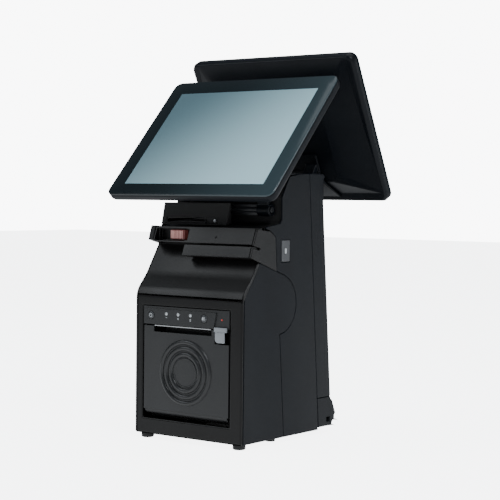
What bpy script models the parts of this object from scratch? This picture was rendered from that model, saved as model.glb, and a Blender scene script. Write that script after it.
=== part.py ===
"""Point-of-sale touchscreen terminal, modelled as an assembly of separate parts.

Units are metres. +X is to the operator's right, +Y to the back, +Z up. The origin is
on the counter, under the centre of the terminal's outer box.
"""
import math

import bmesh
import bpy
from mathutils import Matrix, Vector

# ---------------------------------------------------------------- driving dimensions
GAP = 0.0003                  # clearance between touching parts
RUN = 0.0004                  # radial clearance of a turning part
WALL = 0.0025                 # moulded wall thickness
SHEET = 0.0015                # steel sheet thickness

BODY_WIDTH = 0.152
FOOT_HEIGHT = 0.006
FOOT_RADIUS = 0.0072
FRONT_Y = -0.1138             # flat face of the printer front
SHOULDER_Z = 0.1665           # where the front starts to slope back
COLUMN_TOP_Z = 0.301

LCD_WIDTH = 0.1966            # 9.7 inch panel, 4:3
LCD_HEIGHT = 0.1475
LCD_THICK = 0.0045
BEZEL_SIDE = 0.0190
BEZEL_TOP = 0.0202
BEZEL_BOTTOM = 0.0169
GLASS_THICK = 0.0018
RIM_DEPTH = 0.0105            # housing edge behind the glass
BULGE_DEPTH = 0.0120          # further depth of the housing's raised middle
BULGE_INSET = 0.0120
GLASS_RADIUS = 0.0090

MAIN_LEAN = math.radians(43.05)      # from upright, top towards the back
MAIN_EDGE_Y = -0.1216                # lower edge of the main glass
MAIN_EDGE_Z = 0.2753
MAIN_PIVOT_Y = -0.0500
MAIN_PIVOT_Z = 0.2595

CUSTOMER_LEAN = math.radians(26.57)  # from upright, top towards the front
CUSTOMER_EDGE_Y = 0.1216
CUSTOMER_EDGE_Z = 0.2745
CUSTOMER_PIVOT_Y = 0.0560
CUSTOMER_PIVOT_Z = 0.2830

APRON_LOW = -0.0845           # wedge under the customer hinge plate, down the housing's back
APRON_LOW_HALF = 0.0540
APRON_HIGH_HALF = 0.0380

KNUCKLE_RADIUS = 0.0072
KNUCKLE_LENGTH = 0.0170
KNUCKLE_OUTER_X = 0.0660
HINGE_SHAFT_RADIUS = 0.0030

ROLL_WIDTH = 0.0800           # receipt paper roll
ROLL_RADIUS = 0.0290
ROLL_CORE_RADIUS = 0.0065
ROLL_Y = -0.0735
ROLL_Z = 0.0705
PRINTER_X = -0.0036           # the printer sits a little left of the middle

DOOR_WIDTH = 0.1213
DOOR_LEFT_X = PRINTER_X - DOOR_WIDTH / 2
DOOR_RIGHT_X = PRINTER_X + DOOR_WIDTH / 2
DOOR_BOTTOM_Z = 0.0340
DOOR_TOP_Z = 0.1285
DOOR_THICK = 0.0025
DOOR_PIVOT_Z = 0.0320
RECESS_BOTTOM_Z = 0.0243
PANEL_BOTTOM_Z = 0.1300
PANEL_TOP_Z = 0.1506
SLOT_WIDTH = 0.0826
SLOT_LOW_Z = 0.1218
RING_RADII = (0.0203, 0.0271, 0.0339)
RING_WIDTH = 0.0034
RING_HEIGHT = 0.0009
RING_Z = 0.0786
DISC_RADIUS = 0.0163

PLATEN_RADIUS = 0.0045
PLATEN_Z = 0.1160
BUTTON_RADIUS = 0.0043
FAN_SIZE = 0.0400

HALF = BODY_WIDTH / 2
INNER = HALF - WALL - GAP     # half width between the side covers' inner faces
BOTTOM_Z = FOOT_HEIGHT
GLASS_WIDTH = LCD_WIDTH + 2 * BEZEL_SIDE
GLASS_HEIGHT = LCD_HEIGHT + BEZEL_TOP + BEZEL_BOTTOM

# side-view outline, as (Y, Z, fillet radius), of the front skin from the foot upwards
FRONT_OUTLINE = [
    (FRONT_Y, BOTTOM_Z, 0),
    (FRONT_Y, SHOULDER_Z, 0.020),
    (-0.0965, 0.1865, 0.060),
    (-0.0765, 0.2186, 0.004),
    (-0.0742, 0.2385, 0),
]
# printer bay outline on the side: a round end that follows the paper bay
BAY_Y = -0.0490
BAY_Z = 0.1555
BAY_RADIUS = 0.0335
BAY_TANGENT = math.radians(71.6)
BAY_END = math.radians(-86.0)
BAY_FOOT_Y = -0.0368
# card reader end plate
READER_LOW_FRONT = (-0.1008, 0.2080)
READER_TOP_FRONT = (-0.0888, 0.2390)
READER_LOW_BACK = (-0.0528, 0.1920)
READER_HIGH_BACK = (-0.0558, 0.2300)
# front recess under the display
RECESS_Y = -0.0438
RECESS_Z = 0.2440
RECESS_WALL_Y = -0.0412       # inner wall behind the hinge
# seam between the side panels and the rear cover, top to bottom
SEAM_TOP_Y = 0.0085
SEAM_BOTTOM_Y = 0.0318
REAR_TOP_Y = 0.0400
REAR_MIDDLE_Y = 0.0545
REAR_MIDDLE_Z = 0.1030
REAR_LOW_Y = 0.0590
REAR_SPLIT_Z = 0.0430
SKIRT_Y = 0.0680              # lowest, furthest back part of the cable cover
SKIRT_FLARE_Z = 0.0215
SKIRT_STEP_Y = 0.0620
SKIRT_STEP_Z = 0.0140
SKIRT_BOTTOM_Z = 0.0085
REAR_CORNER = 0.0050
FOOT_INSET = 0.0105           # front feet, from the body's side
REAR_FOOT_INSET = 0.0300
PAD_X = 0.0600                # small pads under the middle of the base
PAD_Y = -0.0400
# raised middle of each display housing, along its height, and its half width
BULGE_LOW = -0.0600           # raised middle of the housing, along the display's height
BULGE_HIGH = 0.0300
BULGE_HALF = 0.0650
# customer hinge arms, from the middle
CUSTOMER_ARM_X = 0.0340
# power button window in the right side panel
POWER_Y = (-0.0448, -0.0288)
POWER_Z = (0.2020, 0.2265)
# card reader bars, swipe groove and lit window
SWIPE_LOW_Z = 0.2203
SWIPE_HIGH_Z = 0.2222
READER_TOP_Z = 0.2398
WINDOW_X = (-0.0440, -0.0225)
UPPER_LEFT_X = -0.0685
LOWER_LEFT_X = -0.0212
# chip card module
MODULE_RIGHT_X = 0.0210
# door lever and the paper slot's middle
LEVER_X = (DOOR_RIGHT_X - 0.01885, DOOR_RIGHT_X - 0.00145)
LEVER_PIVOT_Y = -0.1080
LEVER_PIVOT_Z = 0.1305
SLOT_X = PRINTER_X - 0.0048
# key panel
PANEL_BUTTONS = {"printer_power_button": DOOR_LEFT_X + 0.01195, "feed_button": DOOR_RIGHT_X - 0.03355}
PANEL_LIGHTS = (-0.0302, -0.0132, 0.0044)
ALARM_X = DOOR_RIGHT_X - 0.00965
BUTTON_Z = 0.1402


# ---------------------------------------------------------------- materials
def material(name, colour, roughness, metallic=0.0):
    """A plain Principled material."""
    made = bpy.data.materials.new(name)
    made.use_nodes = True
    shader = made.node_tree.nodes["Principled BSDF"]
    shader.inputs["Base Color"].default_value = (*colour, 1.0)
    shader.inputs["Roughness"].default_value = roughness
    shader.inputs["Metallic"].default_value = metallic
    return made


# ---------------------------------------------------------------- outline helpers
def fillet(corners, closed=True, step=math.radians(18)):
    """Round the corners (u, v, radius) of an outline into a list of 2-D points."""
    count = len(corners)
    points = []
    for index, (u, v, radius) in enumerate(corners):
        at_end = not closed and index in (0, count - 1)
        if radius <= 0 or at_end:
            points.append(Vector((u, v)))
            continue
        here = Vector((u, v))
        back = (Vector(corners[index - 1][:2]) - here)
        ahead = (Vector(corners[(index + 1) % count][:2]) - here)
        room = min(back.length, ahead.length) * 0.49
        back.normalize()
        ahead.normalize()
        half_angle = back.angle(ahead) / 2
        reach = min(radius / math.tan(half_angle), room)
        radius = reach * math.tan(half_angle)
        centre = here + (back + ahead).normalized() * (radius / math.sin(half_angle))
        start = here + back * reach - centre
        end = here + ahead * reach - centre
        turn = start.angle_signed(end)
        pieces = max(2, math.ceil(abs(turn) / step))
        for piece in range(pieces + 1):
            points.append(centre + Matrix.Rotation(-turn * piece / pieces, 2) @ start)
    return points


def offset(points, distance):
    """Shift an open outline sideways, to the right of its direction."""
    moved = []
    last = len(points) - 1
    for index, point in enumerate(points):
        before = (point - points[max(index - 1, 0)]).normalized()
        after = (points[min(index + 1, last)] - point).normalized()
        before = before if index > 0 else after
        after = after if index < last else before
        normal = Vector((before.y + after.y, -before.x - after.x)).normalized()
        lean = normal.dot(Vector((before.y, -before.x)))
        moved.append(point + normal * distance / lean)
    return moved


def arc(centre_u, centre_v, radius, start, end, pieces=12):
    """Points on a circle from one angle to another."""
    return [
        Vector((centre_u + radius * math.cos(start + (end - start) * i / pieces),
                centre_v + radius * math.sin(start + (end - start) * i / pieces)))
        for i in range(pieces + 1)
    ]


def crossing(a, b, c, d):
    """Where the line through a and b meets the line through c and d."""
    along = b - a
    other = d - c
    share = (c - a).cross(other) / along.cross(other)
    return a + along * share


def rounded_rectangle(width, height, radius, centre=(0.0, 0.0), step=math.radians(18)):
    """Outline of a rectangle with round corners."""
    u, v = centre
    corners = [
        (u - width / 2, v - height / 2, radius),
        (u + width / 2, v - height / 2, radius),
        (u + width / 2, v + height / 2, radius),
        (u - width / 2, v + height / 2, radius),
    ]
    return fillet(corners, step=step)


# ---------------------------------------------------------------- solid helpers
AXES = {
    "X": Matrix(((0, 0, 1, 0), (1, 0, 0, 0), (0, 1, 0, 0), (0, 0, 0, 1))),
    "Y": Matrix(((1, 0, 0, 0), (0, 0, -1, 0), (0, 1, 0, 0), (0, 0, 0, 1))),
    "Z": Matrix.Identity(4),
}


def prism(points, low, high, axis="X"):
    """Extrude an outline along an axis.

    The outline is (Y, Z) for axis X, (X, Z) for axis Y and (X, Y) for axis Z.
    """
    solid = bmesh.new()
    near, far = (-low, -high) if axis == "Y" else (low, high)
    first = [solid.verts.new((p[0], p[1], near)) for p in points]
    last = [solid.verts.new((p[0], p[1], far)) for p in points]
    solid.faces.new(first)
    solid.faces.new(last)
    for i in range(len(points)):
        j = (i + 1) % len(points)
        solid.faces.new((first[i], first[j], last[j], last[i]))
    solid.transform(AXES[axis])
    bmesh.ops.recalc_face_normals(solid, faces=solid.faces)
    return solid


def box(x, y, z):
    """A box from three (low, high) pairs."""
    return prism([(x[0], y[0]), (x[1], y[0]), (x[1], y[1]), (x[0], y[1])], z[0], z[1], "Z")


def rod(axis, centre, radius, low, high, segments=24):
    """A cylinder along an axis; centre is the two other coordinates, in X, Y, Z order."""
    circle = arc(centre[0], centre[1], radius, 0, 2 * math.pi, segments)[:-1]
    return prism(circle, low, high, axis)


def loft(sections):
    """Skin over stacked closed outlines, each a (points, height) pair, capped at both ends."""
    solid = bmesh.new()
    rings = [[solid.verts.new((p[0], p[1], h)) for p in points] for points, h in sections]
    solid.faces.new(rings[0])
    solid.faces.new(rings[-1])
    count = len(rings[0])
    for low, high in zip(rings, rings[1:]):
        for i in range(count):
            j = (i + 1) % count
            solid.faces.new((low[i], low[j], high[j], high[i]))
    bmesh.ops.recalc_face_normals(solid, faces=solid.faces)
    return solid


def turned(profile, segments=32):
    """Turn a closed (radius, height) profile about Z, staying clear of the axis."""
    solid = bmesh.new()
    rings = []
    for step in range(segments):
        angle = 2 * math.pi * step / segments
        rings.append([solid.verts.new((r * math.cos(angle), r * math.sin(angle), h))
                      for r, h in profile])
    count = len(profile)
    for step, ring in enumerate(rings):
        ahead = rings[(step + 1) % segments]
        for i in range(count):
            j = (i + 1) % count
            solid.faces.new((ring[i], ring[j], ahead[j], ahead[i]))
    bmesh.ops.recalc_face_normals(solid, faces=solid.faces)
    return solid


def bevel_along(solid, axis, width, segments=2, test=lambda centre: True):
    """Bevel the straight edges that run along an axis and pass a test of their middle."""
    direction = {"X": Vector((1, 0, 0)), "Y": Vector((0, 1, 0)), "Z": Vector((0, 0, 1))}[axis]
    chosen = []
    for edge in solid.edges:
        along = (edge.verts[1].co - edge.verts[0].co).normalized()
        middle = (edge.verts[1].co + edge.verts[0].co) / 2
        if abs(along.dot(direction)) > 0.95 and test(middle):
            chosen.append(edge)
    bmesh.ops.bevel(solid, geom=chosen, offset=width, segments=segments,
                    affect="EDGES", profile=0.5)
    return solid


def combine(base, others, operation):
    """Boolean a list of solids into or out of a base solid, one at a time."""
    mesh = bpy.data.meshes.new("work")
    base.to_mesh(mesh)
    base.free()
    host = bpy.data.objects.new("work", mesh)
    bpy.context.scene.collection.objects.link(host)
    for other in others:
        tool_mesh = bpy.data.meshes.new("tool")
        other.to_mesh(tool_mesh)
        other.free()
        tool = bpy.data.objects.new("tool", tool_mesh)
        bpy.context.scene.collection.objects.link(tool)
        change = host.modifiers.new("change", "BOOLEAN")
        change.operation = operation
        change.object = tool
        bpy.context.view_layer.update()
        done = bpy.data.meshes.new_from_object(
            host.evaluated_get(bpy.context.evaluated_depsgraph_get()))
        host.modifiers.clear()
        host.data = done
        bpy.data.objects.remove(tool)
    result = bmesh.new()
    result.from_mesh(host.data)
    bpy.data.objects.remove(host)
    return result


def cut(base, *tools):
    """Cut tools out of a base solid."""
    return combine(base, tools, "DIFFERENCE")


def join(base, *others):
    """Join solids that overlap into one."""
    return combine(base, others, "UNION")


def finish(name, solid, finish_material, parent=None, place=None, sharp=35):
    """Turn a solid into a named object, with its origin at its parent's or the world's."""
    bmesh.ops.remove_doubles(solid, verts=solid.verts, dist=1e-6)
    bmesh.ops.recalc_face_normals(solid, faces=solid.faces)
    mesh = bpy.data.meshes.new(name)
    solid.to_mesh(mesh)
    solid.free()
    mesh.shade_smooth()
    mesh.set_sharp_from_angle(angle=math.radians(sharp))
    made = bpy.data.objects.new(name, mesh)
    bpy.context.scene.collection.objects.link(made)
    made.data.materials.append(finish_material)
    made.parent = parent
    if place is not None:
        made.matrix_local = place
    return made


def pivot(name, location):
    """An empty on a joint's axis, which the moving parts hang from."""
    empty = bpy.data.objects.new(name, None)
    empty.location = location
    bpy.context.scene.collection.objects.link(empty)
    return empty


def shifted(solid, move):
    """Move a solid."""
    solid.transform(Matrix.Translation(move))
    return solid


# ---------------------------------------------------------------- body shells
def front_line(inset=0.0):
    """Front outline from the foot up, set back from the outer face."""
    line = fillet(FRONT_OUTLINE, closed=False)
    return offset(line, inset) if inset else line


def seam_y(height, inset=0.0):
    """Where the rear seam of the side panels is at a height."""
    share = (COLUMN_TOP_Z - height) / (COLUMN_TOP_Z - BOTTOM_Z)
    return SEAM_TOP_Y + (SEAM_BOTTOM_Y - SEAM_TOP_Y) * share + inset


def rear_outline(inset=0.0):
    """Rear cover outline, bottom to top, from its rear face inwards."""
    line = fillet([
        (REAR_LOW_Y, REAR_SPLIT_Z, 0),
        (REAR_MIDDLE_Y, REAR_MIDDLE_Z, 0.20),
        (REAR_TOP_Y, COLUMN_TOP_Z - 0.0330, 0.02),
        (REAR_TOP_Y, COLUMN_TOP_Z, 0.006),
        (SEAM_TOP_Y - 0.02, COLUMN_TOP_Z, 0),
    ], closed=False)
    return offset(line, -inset) if inset else line


def make_feet(skin):
    """Four rubber feet under the corners."""
    ends = (("front", FRONT_Y + 0.0095, HALF - FOOT_INSET),
            ("rear", SEAM_BOTTOM_Y - 0.0120, HALF - REAR_FOOT_INSET))
    for side, sign in (("left", -1), ("right", 1)):
        for end, y, x in ends:
            profile = [
                (0.0018, 0.0), (FOOT_RADIUS - 0.0012, 0.0), (FOOT_RADIUS, 0.0012),
                (FOOT_RADIUS, FOOT_HEIGHT - GAP), (0.0018, FOOT_HEIGHT - GAP),
            ]
            foot = turned(profile, 24)
            finish(f"foot_{end}_{side}", shifted(foot, (sign * x, y, 0)), skin)


def make_base(skin):
    """Base plate with a row of air slots."""
    front = FRONT_Y + WALL + GAP
    plate = box((-INNER, INNER), (front, SEAM_BOTTOM_Y - 0.002), (BOTTOM_Z, BOTTOM_Z + WALL))
    slots = [box((x - 0.0015, x + 0.0015), (-0.030, 0.000), (BOTTOM_Z - 0.01, BOTTOM_Z + 0.01))
             for x in [-0.040 + 0.008 * i for i in range(11)]]
    pads = [rod("Z", (sign * PAD_X, PAD_Y), 0.0055, 0.0006, BOTTOM_Z + 0.001) for sign in (-1, 1)]
    finish("base_plate", cut(join(plate, *pads), *slots), skin)


def opening_sides():
    """Left and right edges of the printer opening in the front."""
    middle = PRINTER_X
    return middle - DOOR_WIDTH / 2 - 0.0010, middle + DOOR_WIDTH / 2 + 0.0010


def make_front_cover(skin):
    """The curved front skin with the opening for the printer."""
    outer = front_line()
    inner = offset(outer, WALL)
    shell = prism(outer + inner[::-1], -HALF, HALF)
    bevel_along(shell, "Z", 0.0012, 2,
                lambda c: abs(c.x) > HALF - 0.0001 and c.y < FRONT_Y + 0.0005)
    low, high = opening_sides()
    hole = box((low, high), (FRONT_Y - 0.01, FRONT_Y + 0.01), (RECESS_BOTTOM_Z, PANEL_TOP_Z))
    start = Vector(READER_LOW_FRONT) + Vector((0, -GAP))
    end = Vector(READER_LOW_BACK) + Vector((0, -GAP))
    reach = (end - start) * 0.6
    above = prism([start - reach, end + reach, Vector((end.x, 0.27)), Vector((start.x - 0.02, 0.27))],
                  HALF - WALL - GAP, HALF + 0.01)
    finish("printer_front_cover", cut(shell, hole, above), skin)


def bay_line(grow=0.0):
    """The side seam round the paper bay, top to bottom, then down to the foot."""
    points = arc(BAY_Y, BAY_Z, BAY_RADIUS, BAY_TANGENT, BAY_END, 16)
    points.append(Vector((BAY_Y + 0.0030, BAY_Z - BAY_RADIUS - 0.0030)))
    points.append(Vector((BAY_FOOT_Y, BOTTOM_Z)))
    return offset(points, -grow) if grow else points


def printer_side_outline():
    """Side cover of the printer half."""
    front = front_line(WALL + GAP)
    bay = bay_line()
    low = Vector(READER_LOW_FRONT) + Vector((0, -GAP))
    high = Vector(READER_LOW_BACK) + Vector((0, -GAP))
    kept = []
    for start, end in zip(front, front[1:]):
        kept.append(start)
        meet = crossing(start, end, low, high)
        if start.y < meet.y <= end.y:
            kept.append(meet)
            break
    return kept + bay


def make_side_covers(skin):
    """Left and right covers of the printer half."""
    for side, sign in (("left", -1), ("right", 1)):
        low, high = sorted((sign * HALF, sign * (HALF - WALL)))
        cover = prism(printer_side_outline(), low, high)
        finish(f"printer_side_cover_{side}", cover, skin)


def front_above_bay():
    """The front line, behind the front skin, above the printer's side cover."""
    line = front_line(WALL + GAP)
    low = Vector(READER_LOW_FRONT) + Vector((0, GAP))
    high = Vector(READER_LOW_BACK) + Vector((0, GAP))
    for index, (start, end) in enumerate(zip(line, line[1:])):
        meet = crossing(start, end, low, high)
        if start.y < meet.y <= end.y:
            return [meet] + line[index + 1:]
    return line[-1:]


def column_side_outline(beside_reader):
    """Side panel of the column half, from the foot up the front and down the seam.

    Beside the reader the panel stops behind the reader's end plate. On the other side it
    runs forward to the front skin.
    """
    bay = bay_line(GAP)[::-1]
    seam_low = seam_y(BOTTOM_Z) - GAP
    seam_high = seam_y(COLUMN_TOP_Z) - GAP
    if beside_reader:
        lower = [
            (READER_LOW_BACK[0] + GAP, READER_LOW_BACK[1] + GAP, 0),
            (READER_HIGH_BACK[0] + GAP, READER_HIGH_BACK[1], 0.004),
            (-0.0650, 0.2368, 0.004),
            (-0.0736, 0.2394, 0),
        ]
    else:
        lower = [(p.x, p.y, 0) for p in front_above_bay()]
    upper = fillet(lower + [
        (-0.0728, 0.2412, 0),
        (RECESS_Y, RECESS_Z + 0.0012, 0.006),
        (RECESS_Y, 0.2740, 0.004),
        (-0.0300, 0.2970, 0.003),
        (-0.0120, COLUMN_TOP_Z - 0.0012, 0),
        (seam_high, COLUMN_TOP_Z, 0),
    ], closed=False)
    return bay + upper + [Vector((seam_low, BOTTOM_Z))]


def make_column_sides(skin):
    """Left and right column panels; the right one has the power button's window."""
    for side, sign in (("left", -1), ("right", 1)):
        low, high = sorted((sign * HALF, sign * (HALF - WALL)))
        panel = prism(column_side_outline(side == "right"), low, high)
        if side == "right":
            window = box((low - 0.01, high + 0.01), POWER_Y, POWER_Z)
            panel = cut(panel, window)
        finish(f"column_side_panel_{side}", panel, skin)


def make_column_front(skin):
    """Bent inner panel that forms the floor and back of the hinge recess."""
    line = fillet([
        (-0.0712, 0.2400, 0),
        (RECESS_WALL_Y, RECESS_Z - 0.0006, 0.005),
        (RECESS_WALL_Y, 0.2745, 0.004),
        (-0.0275, 0.2955, 0),
    ], closed=False)
    shape = line + offset(line, SHEET)[::-1]
    finish("column_front_panel", prism(shape, -INNER, INNER), skin)


def make_column_top(skin):
    """Cap across the column's top, with openings for the two hinge brackets."""
    top = COLUMN_TOP_Z - 0.0002
    cap = box((-INNER, INNER), (-0.0255, SEAM_TOP_Y - 0.001), (top - WALL, top))
    finish("column_top_cap", cap, skin)


def make_rear_cover(skin):
    """Rear shell of the column, open to the front, with a block of air slots."""
    outer = rear_outline()
    front_low = Vector((seam_y(REAR_SPLIT_Z), REAR_SPLIT_Z))
    front_high = Vector((SEAM_TOP_Y, COLUMN_TOP_Z))
    solid = prism([front_low] + outer[:-1] + [front_high], -HALF, HALF)
    bevel_along(solid, "Z", REAR_CORNER, 3,
                lambda c: abs(c.x) > HALF - 0.0001 and c.y > seam_y(c.z) + 0.008)
    inner = rear_outline(WALL)
    far = 0.05
    hollow = prism([Vector((seam_y(REAR_SPLIT_Z) - far, REAR_SPLIT_Z - far)),
                    Vector((inner[0].x + WALL, REAR_SPLIT_Z - far))] + inner[:-1]
                   + [Vector((SEAM_TOP_Y - far, COLUMN_TOP_Z - WALL))],
                   -HALF + WALL, HALF - WALL)
    slots = []
    for row in range(6):
        z = COLUMN_TOP_Z - 0.1110 + 0.0090 * row
        for x in (-0.030, 0.0, 0.030):
            slots.append(box((x - 0.011, x + 0.011), (REAR_TOP_Y - 0.010, REAR_TOP_Y + 0.030),
                             (z - 0.0016, z + 0.0016)))
    finish("column_rear_cover", cut(solid, hollow, *slots), skin)


def make_cable_cover(skin):
    """Flared skirt over the connectors, with a cable exit at each side."""
    top = REAR_SPLIT_Z - GAP
    front = SEAM_BOTTOM_Y + GAP
    outer = fillet([
        (front, SKIRT_BOTTOM_Z, 0), (SKIRT_STEP_Y, SKIRT_BOTTOM_Z, 0.0010),
        (SKIRT_STEP_Y, SKIRT_STEP_Z, 0), (SKIRT_Y, SKIRT_STEP_Z, 0.0010),
        (SKIRT_Y, SKIRT_FLARE_Z, 0.0060), (REAR_LOW_Y + 0.0011, top - 0.0045, 0.0200),
        (REAR_LOW_Y, top, 0), (seam_y(top) + GAP, top, 0),
    ])
    solid = prism(outer, -HALF, HALF)
    bevel_along(solid, "Z", REAR_CORNER, 3,
                lambda c: abs(c.x) > HALF - 0.0001 and c.y > REAR_LOW_Y - 0.001)
    back = SKIRT_STEP_Y - WALL
    low = SKIRT_STEP_Z + WALL
    hollow = prism([(front - 0.02, SKIRT_BOTTOM_Z - 0.02), (back, SKIRT_BOTTOM_Z - 0.02),
                    (back, low), (SKIRT_Y - WALL, low), (SKIRT_Y - WALL, SKIRT_FLARE_Z),
                    (REAR_LOW_Y - WALL, top - 0.0045), (REAR_LOW_Y - WALL, top + 0.001),
                    (front - 0.02, top + 0.001)],
                   -HALF + WALL, HALF - WALL)
    exits = [box(sorted((sign * (HALF - 0.01), sign * (HALF + 0.01))),
                 (0.0485, 0.0550), (0.0140, 0.0190)) for sign in (-1, 1)]
    finish("rear_cable_cover", cut(solid, hollow, *exits), skin)


def make_chassis(steel):
    """Folded steel chassis inside the column."""
    low_z = BOTTOM_Z + WALL + GAP
    high_z = COLUMN_TOP_Z - 0.0250
    back = -0.0020
    front = -0.0360
    wide = 0.0690
    outline = [(-wide, front), (-wide + SHEET, front), (-wide + SHEET, back - SHEET),
               (wide - SHEET, back - SHEET), (wide - SHEET, front), (wide, front),
               (wide, back), (-wide, back)]
    channel = prism(outline, low_z, high_z, "Z")
    notch = box((wide - 0.006, wide + 0.006), (-0.055, -0.020),
                (POWER_Z[0] - 0.004, POWER_Z[1] + 0.004))
    finish("column_chassis", cut(channel, notch), steel)


# ---------------------------------------------------------------- card reader
def reader_front(height, inset=0.0):
    """Y of the card reader's leaning front face at a height."""
    slope = ((READER_TOP_FRONT[0] - READER_LOW_FRONT[0])
             / (READER_TOP_FRONT[1] - READER_LOW_FRONT[1]))
    return READER_LOW_FRONT[0] + (height - READER_LOW_FRONT[1]) * slope + inset


def make_reader(skin, glow, steel):
    """Swipe reader under the display: two bars, end pieces, window and reading head."""
    end_plate = HALF - WALL - GAP
    upper = [(reader_front(SWIPE_HIGH_Z), SWIPE_HIGH_Z), (reader_front(READER_TOP_Z), READER_TOP_Z),
             (-0.0770, READER_TOP_Z), (-0.0775, SWIPE_HIGH_Z)]
    bar = prism(upper, UPPER_LEFT_X, end_plate)
    pocket = box((UPPER_LEFT_X + 0.002, WINDOW_X[1]), (-0.110, -0.0860), (0.2240, 0.2372))
    head_room = box((0.0120, 0.0300), (-0.0885, -0.0800), (0.2150, 0.2330))
    finish("card_reader_upper_bar", cut(bar, pocket, head_room), skin)

    lower = [(reader_front(0.2078), 0.2078), (reader_front(SWIPE_LOW_Z), SWIPE_LOW_Z),
             (-0.0805, SWIPE_LOW_Z), (-0.0870, 0.2110), (-0.0888, 0.2055)]
    finish("card_reader_lower_bar", prism(lower, LOWER_LEFT_X, end_plate), skin)

    cap_profile = fillet([
        (reader_front(0.2240), 0.2240, 0.0010), (reader_front(0.2404, -0.0012), 0.2404, 0.0015),
        (-0.0785, 0.2396, 0.0), (-0.0772, 0.2196, 0.0),
    ])
    cap = prism([p for p in cap_profile], -HALF, UPPER_LEFT_X - GAP)
    finish("card_reader_end_cap", cap, skin)

    plate = fillet([
        (*READER_LOW_FRONT, 0.0008), (*READER_TOP_FRONT, 0.0020), (-0.0650, 0.2362, 0.004),
        (*READER_HIGH_BACK, 0.004), (*READER_LOW_BACK, 0.0),
    ])
    slot = prism([(-0.1100, 0.2212), (-0.0850, 0.2160), (-0.0838, 0.2184), (-0.1100, 0.2240)],
                 HALF - 0.01, HALF + 0.01)
    finish("card_reader_end_plate", cut(prism(plate, HALF - WALL, HALF), slot), skin)

    lens = box((WINDOW_X[0], WINDOW_X[1] - 0.0006), (-0.0892, -0.0864), (0.2252, 0.2358))
    finish("scanner_window", lens, glow)
    head = box((0.0125, 0.0295), (-0.0880, -0.0806), (0.2224, 0.2325))
    finish("card_reading_head", head, steel)


# ---------------------------------------------------------------- smart card module


def make_card_module(skin, lens):
    """Chip card module in the recess under the display, with its slot and light."""
    low_z = 0.2415
    high_z = 0.2668
    lean = (0.0678 - 0.0739) / (0.2662 - 0.2400)
    front = -0.0739 - lean * (low_z - 0.2400)
    profile = [(front, low_z), (front - lean * (high_z - low_z), high_z),
               (-0.0650, high_z), (-0.0650, low_z + 0.0018)]
    case = prism(profile, -HALF, MODULE_RIGHT_X)
    bevel_along(case, "Z", 0.0030, 3,
                lambda c: c.y < -0.065 and c.x < 0)
    slot = box((-0.0668, -0.0114), (-0.0800, -0.0640), (0.2462, 0.2478))
    recess = box((-0.0670, -0.0112), (-0.0800, -0.0710), (0.2440, 0.2505))
    socket = box((-0.0100, 0.0080), (-0.0800, -0.0700), (0.2435, 0.2500))
    finish("chip_card_module", cut(case, recess, slot, socket), skin)
    light = rod("Y", (0.0024, 0.2468), 0.0016, -0.0720, -0.0700 - GAP, 16)
    finish("module_status_light", light, lens)


# ---------------------------------------------------------------- receipt printer
def make_printer_frame(skin, steel):
    """Paper bay with its side walls, the print head and the tear bar."""
    half = ROLL_WIDTH / 2
    back = ROLL_Y + ROLL_RADIUS + 0.0050
    low = ROLL_Z - ROLL_RADIUS - 0.0050
    front = FRONT_Y + 0.0065
    side = [(front, low), (front, 0.1000), (-0.0930, 0.1070),
            (-0.0930, 0.1400), (-0.0860, 0.1480), (back, 0.1480), (back, low)]
    block = prism(side, PRINTER_X - half - 0.0060, PRINTER_X + half + 0.0060)
    bay_radius = ROLL_RADIUS + 0.0025
    bay = arc(ROLL_Y, ROLL_Z, bay_radius, math.pi, 2 * math.pi, 16)
    bay += [Vector((ROLL_Y + bay_radius, 0.2000)), Vector((FRONT_Y - 0.01, 0.2000)),
            Vector((FRONT_Y - 0.01, ROLL_Z))]
    hollow = prism(bay, PRINTER_X - half - 0.0020, PRINTER_X + half + 0.0020)
    finish("printer_frame", cut(block, hollow), skin)

    head = box((PRINTER_X - half - 0.0015, PRINTER_X + half + 0.0015), (-0.0985, -0.0935),
               (0.1095, 0.1330))
    finish("thermal_print_head", head, steel)

    tear = box((PRINTER_X - 0.0050 - SLOT_WIDTH / 2 + 0.001, PRINTER_X - 0.0050 + SLOT_WIDTH / 2 - 0.001),
               (FRONT_Y + 0.0005, FRONT_Y + 0.0055), (0.1283, 0.1292))
    finish("tear_bar", tear, steel)


def make_paper_roll(paper):
    """Receipt roll, wound round a hollow core, which turns in the bay."""
    hub = pivot("paper_roll_axis", (PRINTER_X, ROLL_Y, ROLL_Z))
    half = ROLL_WIDTH / 2
    turn = Matrix.Rotation(math.radians(90), 4, "Y")
    roll = turned([(ROLL_CORE_RADIUS, -half), (ROLL_RADIUS, -half), (ROLL_RADIUS, half),
                   (ROLL_CORE_RADIUS, half)], 36)
    finish("paper_roll", roll, paper, hub, turn)


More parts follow.
